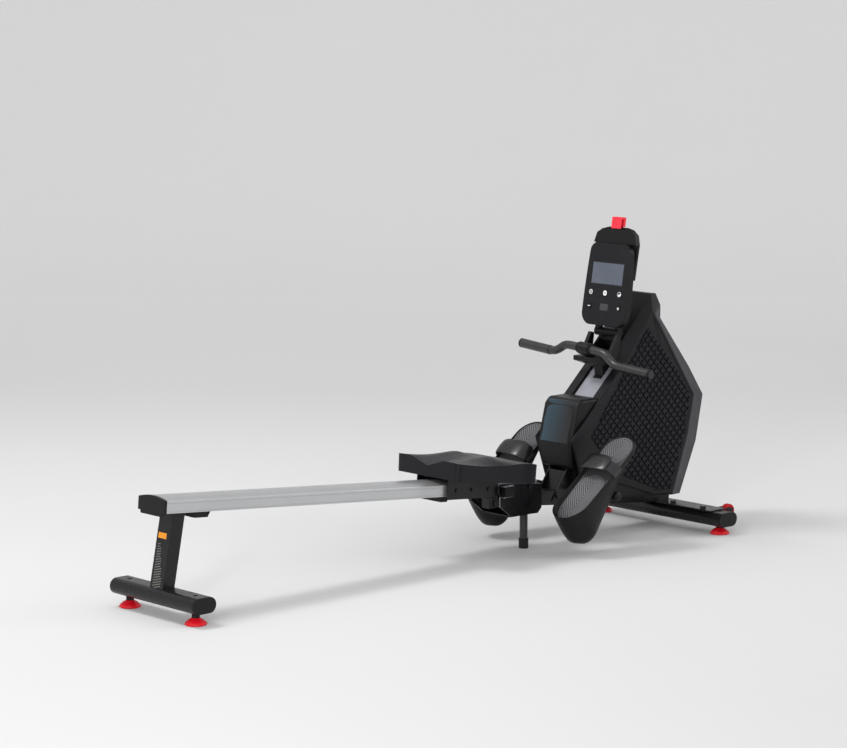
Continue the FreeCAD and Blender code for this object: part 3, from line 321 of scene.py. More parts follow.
def faced_mesh(name, verts, faces):
    """A mesh whose faces all look outward."""
    mesh = bpy.data.meshes.new(name)
    mesh.from_pydata([tuple(v) for v in verts], [], faces)
    mesh.update()
    fix = bmesh.new()
    fix.from_mesh(mesh)
    bmesh.ops.recalc_face_normals(fix, faces=fix.faces)
    fix.to_mesh(mesh)
    fix.free()
    return mesh


def piece(name, verts, faces, material, body, slot, place=None, smooth=False, stands_for=()):
    """A mesh piece that rides on a body and takes the finish it is given; its slot argument is not used."""
    if place is not None:
        verts = [place @ Vector(v) for v in verts]
    mesh = faced_mesh(name, verts, faces)
    mesh.materials.append(material)
    for face in mesh.polygons:
        face.use_smooth = smooth
    return placed(bpy.data.objects.new(name, mesh), body, stands_for)


def loft(rings, closed=True, caps=True):
    """Vertices and faces of a skin over rings of equal length."""
    count = len(rings[0])
    verts = [v for ring in rings for v in ring]
    faces = []
    for r in range(len(rings) - 1):
        for i in range(count if closed else count - 1):
            j = (i + 1) % count
            faces.append((r * count + i, r * count + j, (r + 1) * count + j, (r + 1) * count + i))
    if caps:
        faces.append(tuple(range(count - 1, -1, -1)))
        faces.append(tuple(range((len(rings) - 1) * count, len(rings) * count)))
    return verts, faces


def joined(verts, faces, more_verts, more_faces):
    """Adds one set of vertices and faces to another."""
    faces += [tuple(k + len(verts) for k in face) for face in more_faces]
    verts += more_verts


def subdivide(obj, levels):
    """A smooth subdivided surface."""
    smooth = obj.modifiers.new("smooth", "SUBSURF")
    smooth.levels = levels
    smooth.render_levels = levels
    for face in obj.data.polygons:
        face.use_smooth = True


def lathe(name, profile, origin, axis, material, body, slot, steps=64, lobes=0, swell=0.0,
          stands_for=()):
    """A turned piece from (radius, height) pairs along an axis, with lobes on its rim if asked."""
    turn = Vector((0, 0, 1)).rotation_difference(Vector(axis)).to_matrix().to_4x4()
    place = Matrix.Translation(origin) @ turn
    rings = []
    for radius, height in profile:
        ring = []
        for i in range(steps):
            a = 2 * math.pi * i / steps
            r = radius * (1 + swell * math.cos(lobes * a)) if lobes else radius
            ring.append(Vector((r * math.cos(a), r * math.sin(a), height)))
        rings.append(ring)
    verts, faces = loft(rings)
    return piece(name, verts, faces, material, body, slot, place, True, stands_for)


# ---------------------------------------------------------------- housing
SPINE = [(1560, 170), (1700, 124), (2031, 98), (2104, 263), (2134, 409), (2066, 506), (1931, 672),
         (1931, 713), (1908, 752), (1888, 752), (1739, 594), (1728, 532), (1560, 374)]
BAND_RING = 1  # the ring of faces from the spine out to the flank
PAINTED_LIT_EDGES = (2, 3, 4, 5, 6)  # its faces along the front, painted lighter as a highlight for the light that falls on them
FLANK = [(1562, 176), (1700, 128), (1972, 104), (2040, 290), (2068, 420), (2012, 501), (1896, 671),
         (1882, 690), (1876, 702), (1868, 706), (1756, 566), (1745, 548), (1510, 326)]


def edges_of(outline):
    """Each pair of neighbouring points of a closed outline."""
    return zip(outline, outline[1:] + outline[:1])


def turning(outline):
    """1 for an outline that runs anticlockwise, -1 for the other way."""
    return 1 if sum(a[0] * b[1] - b[0] * a[1] for a, b in edges_of(outline)) > 0 else -1


def beyond(a, b, p):
    """How far a point lies to the left of the line from a to b, times the line's length."""
    return (b[0] - a[0]) * (p[1] - a[1]) - (b[1] - a[1]) * (p[0] - a[0])


def inward(outline, distance):
    """A nearly convex outline drawn in from its edges by a distance."""
    count = len(outline)
    side = turning(outline)
    result = []
    for i in range(count):
        p, q, r = (Vector(outline[k % count]) for k in (i - 1, i, i + 1))
        n1 = Vector((-(q - p).y, (q - p).x)).normalized() * side
        n2 = Vector((-(r - q).y, (r - q).x)).normalized() * side
        mean = (n1 + n2).normalized()
        result.append(tuple(q + mean * (distance / max(0.5, mean.dot(n1)))))
    return result


def clip(polygon, region):
    """The part of a polygon inside a convex region, both lists of points."""
    side = turning(region)
    for a, b in edges_of(region):
        kept = []
        for p, q in edges_of(polygon):
            p_off, q_off = beyond(a, b, p), beyond(a, b, q)
            p_in, q_in = side * p_off >= 0, side * q_off >= 0
            if p_in:
                kept.append(p)
            if p_in != q_in:
                t = p_off / (p_off - q_off)
                kept.append((p[0] + (q[0] - p[0]) * t, p[1] + (q[1] - p[1]) * t))
        polygon = kept
        if len(polygon) < 3:
            return []
    return polygon


def cut_away(obj, low, high, place=None):
    """Cuts a box out of a piece."""
    corners = [Vector((x, y, z)) for x in (low[0], high[0]) for y in (low[1], high[1])
               for z in (low[2], high[2])]
    faces = [(0, 1, 3, 2), (4, 6, 7, 5), (0, 4, 5, 1), (2, 3, 7, 6), (0, 2, 6, 4), (1, 5, 7, 3)]
    if place:
        corners = [place @ corner for corner in corners]
    cutter = bpy.data.objects.new("cutter", faced_mesh("cutter", corners, faces))
    bpy.context.scene.collection.objects.link(cutter)
    boolean = obj.modifiers.new("cut", "BOOLEAN")
    boolean.operation = "DIFFERENCE"
    boolean.solver = "EXACT"
    boolean.object = cutter
    graph = bpy.context.evaluated_depsgraph_get()
    cut_mesh = bpy.data.meshes.new_from_object(obj.evaluated_get(graph))
    obj.modifiers.remove(boolean)
    obj.data = cut_mesh
    bpy.data.objects.remove(cutter)


def housing_side(side, label):
    """One moulded side cover: the spine, the bevelled band with its front faces painted lighter as a
    highlight, and the flat flank.
    """
    flat = inward(FLANK, 9)
    levels = [(SPINE, 0.25), (SPINE, 54), (FLANK, 78), (inward(FLANK, 3), 80), (flat, 80),
              (inward(FLANK, 11), 77.5)]
    rings = [[at(x, side * y, z) for x, z in outline] for outline, y in levels]
    verts, faces = loft(rings)
    cover = piece(f"housing_shell_{label}", verts, faces, SLOT["charcoal_plastic"], "frame",
                  "charcoal_plastic", stands_for=[f"housing_cover_{label}"])
    # The second finish, the lighter grey, is painted on the band's front faces as their highlight.
    cover.data.materials.append(EXTRA["grey_trim_and_painted_lit_band"])
    count = len(SPINE)
    for face in cover.data.polygons:
        ring, edge = divmod(face.index, count)
        if ring == BAND_RING and edge in PAINTED_LIT_EDGES:
            face.material_index = 1
    cut_away(cover, (0, -0.046, -0.010), (0.42, 0.046, 0.2), COLUMN)
    low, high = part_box("pod_cover")
    cut_away(cover, (low[0] - 0.002, low[1] - 0.001, low[2]), (high[0], high[1] + 0.001, high[2]))
    cut_away(cover, (at(1400, 0, 0).x, -0.042, 0.08), (at(2110, 0, 0).x, 0.042, 0.17))
    soften(cover, 0.0022)
    waffle(side, label)


def waffle(side, label):
    """The grid of raised squares on a flank, cut off at the edge of their field."""
    field = [(1602, 330), (1700, 212), (1905, 128), (1958, 124), (2022, 292), (2046, 418), (1996, 492),
             (1856, 648), (1838, 636)]
    pitch, h = 20.5, 7.5
    slope = math.radians(COLUMN_SLOPE)
    along = Vector((math.cos(slope), math.sin(slope)))
    across = Vector((-math.sin(slope), math.cos(slope)))
    origin = Vector((1840, 380))
    verts, faces = [], []
    for i in range(-20, 21):
        for j in range(-20, 21):
            c = origin + along * (i * pitch) + across * (j * pitch)
            square = [tuple(c + along * a + across * b) for a, b in ((-h, -h), (h, -h), (h, h), (-h, h))]
            kept = clip(square, field)
            if len(kept) < 3:
                continue
            mean = Vector((sum(p[0] for p in kept) / len(kept), sum(p[1] for p in kept) / len(kept)))
            top = [tuple(mean + (Vector(p) - mean) * 0.86) for p in kept]
            joined(verts, faces, *loft([[at(x, side * 77.3, z) for x, z in kept],
                                        [at(x, side * 80.6, z) for x, z in kept],
                                        [at(x, side * 81.6, z) for x, z in top]]))
    piece(f"waffle_{label}", verts, faces, EXTRA["waffle"], "frame", "charcoal_plastic")


# ---------------------------------------------------------------- seat
# Heights of the seat's top at stations back from the fold pin, in millimetres
SEAT_REAR, SEAT_LENGTH, SEAT_HALF = -372, 364, 137
SEAT_CENTRE = [(-372, 70), (-335, 73), (-290, 79), (-235, 88), (-190, 90), (-140, 84), (-90, 78),
               (-40, 74), (-8, 69)]
SEAT_WING = [(-372, 92), (-330, 90), (-280, 90), (-235, 94), (-190, 98), (-155, 91), (-110, 82),
             (-60, 78), (-8, 71)]
SEAT_EDGE = [(-372, 91), (-328, 86), (-250, 79), (-184, 78), (-112, 82), (-60, 79), (-8, 70)]


def curve_at(x, table):
    """A smooth curve through a table's points, read at x."""
    if x <= table[0][0]:
        return table[0][1]
    for k in range(len(table) - 1):
        (x1, z1), (x2, z2) = table[k], table[k + 1]
        if x > x2:
            continue
        x0, z0 = table[max(0, k - 1)]
        x3, z3 = table[min(len(table) - 1, k + 2)]
        t = (x - x1) / (x2 - x1)
        m1 = (z2 - z0) / (x2 - x0) * (x2 - x1)
        m2 = (z3 - z1) / (x3 - x1) * (x2 - x1)
        a, b = 2 * t**3 - 3 * t**2 + 1, t**3 - 2 * t**2 + t
        c, d = -2 * t**3 + 3 * t**2, t**3 - t**2
        return a * z1 + b * m1 + c * z2 + d * m2
    return table[-1][1]


def seat_height(x, y):
    """The moulded seat's top above the rail's axis, in millimetres, x back from the fold pin."""
    centre, wing, edge = (curve_at(x, table) for table in (SEAT_CENTRE, SEAT_WING, SEAT_EDGE))
    crest = wing + (edge - wing) * 0.35
    across = [(-6, centre), (0, centre + 0.6), (36, (centre + wing) / 2), (72, wing), (106, crest),
              (SEAT_HALF, edge)]
    return curve_at(abs(y), across)


def seat_half_width(back):
    """Half the seat's width from its rear, 0, to its front, 1."""
    corner_radius = 17
    corner = max(0.0, 1 - back * SEAT_LENGTH / corner_radius)
    rear = 1 - corner_radius / SEAT_HALF * (1 - math.sqrt(1 - corner**2))
    turn = max(0.0, (back - 0.6) / 0.405)
    front = 0.6 + 0.4 * math.sqrt(max(0.0, 1 - turn**2.4))
    waist = 1 - 0.02 * math.exp(-(((back - 0.42) / 0.16) ** 2))
    return SEAT_HALF * rear * front * waist


def seat_pad():
    """The moulded seat: wings and a tailbone notch at the back, falling to a narrow front."""
    rows, columns = 52, 60
    top, bottom = [], []
    for i in range(rows + 1):
        back = (i / rows) ** 1.5
        x = SEAT_REAR + SEAT_LENGTH * back
        low = 38 - 22 * back
        half = seat_half_width(back)
        top_row, bottom_row = [], []
        for j in range(columns + 1):
            s = -1 + 2 * j / columns
            s = math.copysign(1 - (1 - abs(s)) ** 1.35, s)
            y = s * half
            top_row.append((x, y, seat_height(x, y)))
            bottom_row.append((x, y * 0.985, low))
        top.append(top_row)
        bottom.append(bottom_row)
    width = columns + 1
    verts = in_metres(v for row in top + bottom for v in row)
    shift = (rows + 1) * width
    faces = []
    for i in range(rows):
        for j in range(columns):
            a = i * width + j
            faces.append((a, a + 1, a + width + 1, a + width))
            faces.append((shift + a, shift + a + width, shift + a + width + 1, shift + a + 1))
    for j in range(columns):
        faces.append((j, shift + j, shift + j + 1, j + 1))
        k = rows * width + j
        faces.append((k, k + 1, shift + k + 1, shift + k))
    for i in range(rows):
        a = i * width
        faces.append((a, a + width, shift + a + width, shift + a))
        b = a + columns
        faces.append((b, shift + b, shift + b + width, b + width))
    pad = piece("seat_cushion", verts, faces, SLOT["seat_foam"], "seat", "seat_foam", RAIL, True,
                ["seat_pad"])
    cut_away(pad, (-0.352, -0.078, -0.06), (0.03, 0.078, 0.0507), RAIL)
    soften(pad, 0.0045, 4, 50)


# ---------------------------------------------------------------- pedals
# The footplate's outline, in millimetres: half its width, and its heel and toe along the sole
PLATE_HALF, HEEL, TOE = 64.5, -12, 352


def pedal_place(side):
    """The footplate's frame: x from heel to toe, z off the sole."""
    return slanted(Vector((at(1378, 0, 0).x, side * abs(middle("foot_pad_left").y), 0.111)), 40.2)


def stadium(half, low, high, steps=18):
    """A closed outline with round ends, in the sole's plane."""
    points = []
    for centre, start in ((high - half, -90), (low + half, 90)):
        for i in range(steps + 1):
            a = math.radians(start + 180 * i / steps)
            points.append((centre + half * math.cos(a), half * math.sin(a)))
    return points


def footplate(side, label):
    """The footplate's tray: a deep heel bowl, a raised rim and a thin toe."""
    place = pedal_place(side)
    rim = [(-12, 29), (20, 27), (70, 19), (130, 8), (200, 6.5), (352, 6.5)]
    keel = [(-12, -84), (4, -98), (28, -103), (56, -97), (90, -76), (130, -42), (165, -20),
            (220, -12), (352, -11)]
    shrink = [(1.0, 1.0), (1.0, 0.84), (0.99, 0.66), (0.96, 0.48), (0.9, 0.32), (0.81, 0.18),
              (0.67, 0.08), (0.48, 0.02), (0.25, 0.0)]

    def ring_in(distance, height):
        outline = stadium(PLATE_HALF - distance, HEEL + distance, TOE - distance, 22)
        return [(x, y, height(x)) for x, y in outline]

    rings = [ring_in(9.5, lambda x: -2), ring_in(6, lambda x: 0),
             ring_in(3.5, lambda x: curve_at(x, rim) - 1.5), ring_in(1.5, lambda x: curve_at(x, rim))]
    for scale, height in shrink:
        ring = []
        for x, y in stadium(PLATE_HALF, HEEL, TOE, 22):
            top, low = curve_at(x, rim) - 2, curve_at(x, keel)
            near = 40 + (x - 40) * (1 - (1 - scale) * (0.8 if x < 40 else 0.04))
            cx = near - 22 * (1 - height) * max(0.0, 1 - x / 130) ** 1.5
            ring.append((cx, y * scale, low + (top - low) * height))
        rings.append(ring)
    body = f"pedal_{label}"
    piece(f"foot_tray_{label}", *loft([in_metres(ring) for ring in rings]), SLOT["black_plastic"], body,
          "black_plastic", place, True, [f"footplate_{label}"])
    lathe(f"pedal_hub_{label}", [(0.0135, -0.052), (0.015, -0.05), (0.015, 0.05), (0.0135, 0.052)],
          Vector((at(1553, 0, 0).x, place.translation.y, 0.171)), (0, 1, 0), SLOT["black_plastic"],
          body, "black_plastic")
    section = [(0.150, -0.009), (0.196, -0.009), (0.178, -0.075), (0.160, -0.075)]
    web = piece(f"pedal_web_{label}", *loft([[(x, y, z) for x, z in section] for y in (-0.04, 0.04)]),
                SLOT["black_plastic"], body, "black_plastic", place)
    soften(web, 0.002)
    foot_pad(label, place)
    foot_strap(side, label, place)


def foot_pad(label, place):
    """The ribbed rubber sole in two panels, each inside a raised line."""
    half, low, high = 58, -7, 347
    outline = stadium(half, low, high, 22)
    inner = stadium(half - 1.5, low + 1.5, high - 1.5, 22)
    levels = [(outline, 0.2), (outline, 3.6), (inner, 4.8)]
    sole = loft([in_metres((x, y, z) for x, y in ring) for ring, z in levels])
    piece(f"foot_sole_{label}", *sole, SLOT["grey_rubber"], f"pedal_{label}", "grey_rubber", place,
          False, [f"foot_pad_{label}"])
    verts, faces = [], []
    for panel in (stadium(half - 5, low + 5, 184, 14), stadium(half - 5, 232, high - 5, 14)):
        inner_edge = inward(panel, 2)
        levels = [(panel, 4.6), (panel, 6.2), (inner_edge, 6.2), (inner_edge, 4.6)]
        rings = [in_metres((x, y, z) for x, y in ring) for ring, z in levels]
        joined(verts, faces, *loft(rings, caps=False))
        ribs(panel, verts, faces)
    piece(f"sole_ribs_{label}", verts, faces, EXTRA["rib_grey"], f"pedal_{label}", "grey_rubber", place)


def ribs(panel, verts, faces):
    """Chevron ribs across a panel, clipped to it."""
    region = inward(panel, 4.5)
    low = min(p[0] for p in region)
    high = max(p[0] for p in region)
    lean = math.radians(34)
    pitch, length, width = 12.5, 180, 3.2
    for hand in (-1, 1):
        step = Vector((math.cos(lean), hand * math.sin(lean)))
        normal = Vector((step.y, -step.x)) * hand
        start = low - 160
        while start < high + 80:
            a = Vector((start, 0.4 * hand))
            b = a + step * length
            strip = [a, b, b + normal * width, a + normal * width]
            kept = clip([tuple(p) for p in strip], region)
            start += pitch
            if len(kept) >= 3:
                joined(verts, faces, *loft([in_metres((x, y, z) for x, y in kept) for z in (4.6, 5.8)]))


def foot_strap(side, label, place):
    """The instep band: a webbing arch with a padded gloss saddle on its inner half."""
    def arch(t, lift):
        a = math.pi * t
        y = -math.copysign(abs(math.cos(a)) ** 0.75, math.cos(a)) * (66.5 + lift)
        return y, 2 + (39 + lift) * math.sin(a) ** 0.8

    def band(start, end, low, high, lift, thick, bulge, steps=28):
        rings = []
        for i in range(steps + 1):
            t = start + (end - start) * i / steps
            swell = bulge * math.sin(math.pi * i / steps) ** 0.5
            y, z = arch(t, lift)
            y2, z2 = arch(t, lift + thick)
            y3, z3 = arch(t, lift + thick + 1.5 * (bulge > 0))
            ring = [(low - swell, y, z), (high + swell, y, z), (high + swell, y2, z2),
                    ((low + high) / 2, y3, z3), (low - swell, y2, z2)]
            rings.append(in_metres((x, -side * y, z) for x, y, z in ring))
        return loft(rings)

    strap = piece(f"strap_band_{label}", *band(0.0, 1.0, 190, 226, 0.0, 2.2, 0), SLOT["webbing"],
                  f"pedal_{label}", "webbing", place, False, [f"foot_strap_{label}"])
    soften(strap, 0.0006, 2)
    saddle = piece(f"strap_saddle_{label}", *band(0.3, 0.93, 184, 232, 2.4, 3.2, 9), EXTRA["saddle"],
                   f"pedal_{label}", "webbing", place, True)
    subdivide(saddle, 1)


# ---------------------------------------------------------------- feet and wheels
def both_sides(profile, half):
    """A wheel's turned profile from its outer half, given as (radius, part of the half width) pairs."""
    return [(r, -half * part) for r, part in profile] + [(r, half * part) for r, part in reversed(profile)]


def feet_and_wheels():
    """The red adjusting feet with their lobed edges, and the red wheels with their treads."""
    dome = [(0.0275, 0), (0.0305, 0.002), (0.0303, 0.005), (0.027, 0.009), (0.019, 0.0155),
            (0.013, 0.0185), (0.0125, 0.020)]
    nut = [(0.0115, 0.0), (0.012, 0.001), (0.012, 0.0095), (0.0105, 0.0105)]
    for name in ("rear_foot_left", "rear_foot_right", "front_foot_left", "front_foot_right"):
        low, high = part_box(name)
        base = Vector(((low[0] + high[0]) / 2, (low[1] + high[1]) / 2, low[2]))
        lathe(f"{name}_dome", dome, base, (0, 0, 1), SLOT["red_plastic"], name, "red_plastic", 96, 12,
              0.018, [name])
        lathe(f"{name}_nut", nut, base + Vector((0, 0, 0.0195)), (0, 0, 1), SLOT["black_rubber"], name,
              "red_plastic", 6)
        lathe(f"{name}_stem", [(0.0055, 0.0), (0.0055, high[2] - low[2] - 0.031)],
              base + Vector((0, 0, 0.030)), (0, 0, 1), SLOT["zinc_steel"], name, "red_plastic", 32)
    for name in ("transport_wheel_left", "transport_wheel_right"):
        low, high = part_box(name)
        half = (high[1] - low[1]) / 2
        radius = (high[2] - low[2]) / 2
        centre = middle(name)
        hub = [(0.0045, 0.8), (0.008, 0.9), (0.0085, 0.75), (radius * 0.74, 0.7), (radius * 0.84, 0.92)]
        tyre = [(radius * 0.845, 0.82), (radius * 0.95, 0.84), (radius, 0.55)]
        hub, tyre = (both_sides(profile, half) for profile in (hub, tyre))
        lathe(f"{name}_hub", hub, centre, (0, 1, 0), SLOT["red_plastic"], name, "red_plastic", 64,
              stands_for=[name])
        lathe(f"{name}_tyre", tyre, centre, (0, 1, 0), EXTRA["tyre_red"], name, "red_plastic", 64)


# ---------------------------------------------------------------- handle
def tube_curve(name, points, radius, material, body, stands_for=()):
    """A smooth round tube through control points."""
    curve = bpy.data.curves.new(name, "CURVE")
    curve.dimensions = "3D"
    curve.bevel_depth = radius
    curve.bevel_resolution = 8
    curve.use_fill_caps = True
    spline = curve.splines.new("NURBS")
    spline.points.add(len(points) - 1)
    for target, p in zip(spline.points, points):
        target.co = (*p, 1)
    spline.order_u = 4
    spline.use_endpoint_u = True
    spline.resolution_u = 12
    curve.materials.append(material)
    return placed(bpy.data.objects.new(name, curve), body, stands_for)


def handle():
    """The gull-wing bar with its soft grips, their end caps and the two rings of its clamp."""
    def on_bar(y, z):
        return HANDLE @ Vector((0, y / 1000, z / 1000))

    half = [(277, -31), (200, -31), (150, -31), (128, -29), (106, -16), (88, -2), (66, 0), (20, 0)]
    line = [on_bar(-y, z) for y, z in half] + [on_bar(y, z) for y, z in reversed(half)]
    tube_curve("pull_bar", line, 0.0135, EXTRA["bar_satin"], "handle", ["handle_bar"])
    cap = [(0.0149, 0), (0.0149, 0.004), (0.0138, 0.0055), (0.011, 0.006)]
    ring = [(0.0105, 0), (0.0122, 0), (0.0122, 0.0007), (0.0105, 0.0007)]
    clamp = [(0.0136, -0.0015), (0.0172, -0.0015), (0.0172, 0.0015), (0.0136, 0.0015)]
    for hand, label in ((-1, "right"), (1, "left")):
        outward = HANDLE.to_3x3() @ Vector((0, hand, 0))
        ends = [on_bar(hand * y, -31) for y in (150, 180, 230, 276)]
        tube_curve(f"grip_{label}", ends, 0.0149, EXTRA["bar_satin"], "handle",
                   ["handle_grips"] if hand < 0 else [])
        lathe(f"grip_cap_{label}", cap, on_bar(hand * 277, -31), outward, SLOT["black_plastic"],
              "handle", "grip_foam", 48)
        lathe(f"grip_ring_{label}", ring, on_bar(hand * 283, -31), outward, EXTRA["grey_trim_and_painted_lit_band"],
              "handle", "grip_foam", 48)
        lathe(f"clamp_ring_{label}", clamp, on_bar(hand * 26.2, 0), HANDLE.to_3x3() @ Vector((0, 1, 0)),
              SLOT["black_rubber"], "handle", "black_plastic", 48)


# ---------------------------------------------------------------- console
def disc(name, centre, inner, outer, body, x, start=0, end=360, steps=40):
    """A flat white ring, disc or part of one, printed on a key."""
    verts, faces = [], []
    for i in range(steps + 1):
        a = math.radians(start + (end - start) * i / steps)
        for r in (inner, outer):
            verts.append((x, centre[0] + r * math.cos(a), centre[1] + r * math.sin(a)))
    for i in range(steps):
        k = 2 * i
        faces.append((k, k + 1, k + 3, k + 2))
    piece(name, verts, faces, EXTRA["icon_white"], body, "black_plastic", CONSOLE)


def bars_print(name, boxes, material, body, slot, x):
    """Flat printed bars on the console's face, each from its (low y, low z, high y, high z)."""
    verts, faces = [], []
    for y0, z0, y1, z1 in boxes:
        k = len(verts)
        verts += [(x, y0, z0), (x, y1, z0), (x, y1, z1), (x, y0, z1)]
        faces.append((k, k + 1, k + 2, k + 3))
    piece(name, verts, faces, material, body, slot, CONSOLE)


def console_print():
    """White marks on the keys, the grey windows and a fine line, with no lettering."""
    key, pane = -0.0016, 0.0004
    high, low, out = 0.102, 0.058, 0.061

    def on_key(name, boxes, button, material=EXTRA["icon_white"], x=key):
        bars_print(name, boxes, material, button, "black_plastic", x)

    disc("icon_ring_programme", (out, high), 0.0058, 0.0076, "programme_button", key)
    lines = (high - 0.0031, high - 0.0006, high + 0.0019)
    on_key("icon_programme", [(0.0578, z, 0.0642, z + 0.0012) for z in lines], "programme_button")
    disc("icon_start", (0, high), 0.0, 0.0080, "start_button", key)
    on_key("icon_start_bars", [(y, high - 0.003, y + 0.0018, high + 0.003) for y in (-0.0030, 0.0012)],
           "start_button", SLOT["black_plastic"], key - 0.0002)
    disc("icon_display", (-out, high), 0.0, 0.0079, "display_button", key, 150, 330)
    disc("icon_display_ring", (-out, high), 0.0066, 0.0079, "display_button", key)
    on_key("icon_minus", [(0.0575, low - 0.0011, 0.0685, low + 0.0011)], "minus_button")
    on_key("icon_plus", [(-0.0678, low - 0.0011, -0.0582, low + 0.0011),
                         (-0.0641, low - 0.0048, -0.0619, low - 0.0011),
                         (-0.0641, low + 0.0011, -0.0619, low + 0.0048)], "plus_button")
    bars_print("lcd_window", [(-0.0655, 0.1305, 0.0655, 0.1955)], EXTRA["lcd_grey"], "frame",
               "screen_dark", pane)
    bars_print("lcd_small", [(-0.0170, low - 0.0102, 0.0170, low + 0.0102)], EXTRA["lcd_small"], "frame",
               "screen_dark", pane)
    bars_print("face_line", [(-0.088, 0.0798, 0.088, 0.0803), (-0.010, 0.0215, 0.010, 0.0223),
                             (-0.008, 0.2185, 0.008, 0.2192)],
               EXTRA["grey_trim_and_painted_lit_band"], "frame", "charcoal_plastic", -0.0003)


# ---------------------------------------------------------------- rail, pod and small parts
def rail_profile():
    """The rail's section: an arched top with two fine grooves, and sides with a waist line and a lip."""
    steps, half = 48, 57
    top = []
    for i in range(steps + 1):
        y = -half + 2 * half * i / steps
        dip = 0.9 if 38.5 < abs(y) < 41.5 else 0.0
        top.append((y, 17.5 + 8 * (1 - (y / 58) ** 2) - dip))
    side = [(57.7, 17.2), (58, 16.2), (58, 11.5), (57.2, 10.9), (57.2, 9.7), (58, 9.1), (58, -11.5),
            (57.1, -12.1), (57.1, -13.1), (58, -13.7), (58, -17.0), (57.5, -17.5)]
    return top + side + [(-y, z) for y, z in reversed(side)]


def rail():
    """The extruded aluminium rail, hollow from end to end."""
    rear, front = -1379, 33
    outside = rail_profile()
    inside = [(y * 0.957, z * 0.857) for y, z in outside]
    ends = [(outside, rear), (outside, front), (inside, front), (inside, rear)]
    verts, faces = loft([in_metres((x, y, z) for y, z in ring) for ring, x in ends], caps=False)
    count = len(outside)
    for i in range(count):
        k = (i + 1) % count
        faces.append((3 * count + i, 3 * count + k, k, i))
    piece("rail_extrusion", verts, faces, SLOT["rail_aluminium"], "rail", "rail_aluminium", RAIL,
          stands_for=["rail"])


def block(name, corners, half, material, body, slot, width=0.002, centre=0.0, segments=3,
          stands_for=()):
    """A softened prism: side corners in millimetres, and half its width at a height about a centre."""
    halves = half if callable(half) else (lambda z: half)
    rings = [[at(x, centre + sign * halves(z), z) for x, z in corners] for sign in (-1, 1)]
    soften(piece(name, *loft(rings), material, body, slot, stands_for=stands_for), width, segments)


def pod():
    """The rounded cover over the column's foot, with its polished front panel."""
    def half(z):
        return 73 if z >= 313 else 73 - 10 * (313 - z) / 87

    corners = [(1527, 236), (1584, 226), (1606, 300), (1640, 448), (1560, 448), (1543, 430), (1512, 313)]
    block("pod_shell", corners, half, SLOT["black_plastic"], "frame", "gloss_black", 0.010,
          segments=6, stands_for=["pod_cover"])
    front = [(1511.2, 316), (1520, 348), (1528.5, 381), (1539, 419), (1544, 432), (1551, 441), (1560, 445)]
    back = [(x + 3, z - 2) for x, z in reversed(front)]
    steps, panel_half = 16, 66
    rings = []
    for i in range(steps + 1):
        y = -panel_half + 2 * panel_half * i / steps
        push = 2.4 * (abs(y) / panel_half) ** 4
        face = [at(x + push, y, z - push * 0.3) for x, z in front]
        rings.append(face + [at(x + push, y, z) for x, z in back])
    # The panel's finish carries a painted reflection: light blue on the machine's left, fading to near
    # black on its right.
    panel = piece("pod_panel", *loft(rings), EXTRA["pod_gloss_painted_reflection"], "frame", "gloss_black", smooth=True)
    soften(panel, 0.0015)


def small_parts():
    """Thin bright chrome strips as painted highlights on the lock pin's knob and on the rest block's edge,
    and the flanks' lower ribs.
    """
    low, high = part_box("lock_pin")
    x0, x1 = (low[0] + REACH) * 1000 - 1, (high[0] + REACH) * 1000 + 1
    # Two bright strips at the knob's top and bottom: painted highlights on its edges.
    for name, z in (("upper", 220.4), ("lower", 187.6)):
        block(f"pin_highlight_strip_{name}", [(x0, z), (x1, z), (x1, z + 2), (x0, z + 2)], 8, EXTRA["chrome_painted_highlight"],
              "lock_pin", "black_plastic", 0.0005, -81)
    # A bright strip on the rest block's right edge: a painted highlight.
    block("rest_highlight_strip", [(1221.5, 156.5), (1223.3, 156.5), (1223.3, 187.5), (1221.5, 187.5)], 1.2,
          EXTRA["chrome_painted_highlight"], "frame", "zinc_steel", 0.0004, -64.2)
    for side in (-1, 1):
        label = "left" if side > 0 else "right"
        block(f"flank_rib_{label}", [(1706, 199), (1866, 141), (1882, 117), (1706, 176)], 5,
              SLOT["charcoal_plastic"], "frame", "charcoal_plastic", 0.002, side * 78)


def post_prints():
    """The plain tab and the short bars printed on the rear post's face."""
    lean = math.radians(POST_LEAN)
    foot = at(-25, 0, 60)
    up = Vector((math.sin(lean), 0, math.cos(lean)))
    out = Vector((-math.cos(lean), 0, math.sin(lean))) * 0.0003

    def print_box(name, boxes, material):
        verts, faces = [], []
        for y0, s0, y1, s1 in boxes:
            k = len(verts)
            for y, s in ((y0, s0), (y1, s0), (y1, s1), (y0, s1)):
                verts.append(foot + up * s + out + Vector((0, y, 0)))
            faces.append((k, k + 1, k + 2, k + 3))
        piece(name, verts, faces, material, "rail", "black_paint")

    print_box("post_tab", [(-0.014, 0.158, 0.022, 0.174)], EXTRA["orange_print"])
    marks = []
    for i in range(18):
        for k in range(6 - i // 4):
            y, s = 0.018 - 0.006 * k, 0.018 + 0.0072 * i + 0.0016 * k
            marks.append((y - 0.0042, s, y, s + 0.0024))
    print_box("post_marks", marks, EXTRA["grey_print"])


# ---------------------------------------------------------------- light, floor and camera
VIEW_YAW = 42.28  # degrees that the view turns from the machine's left towards its front


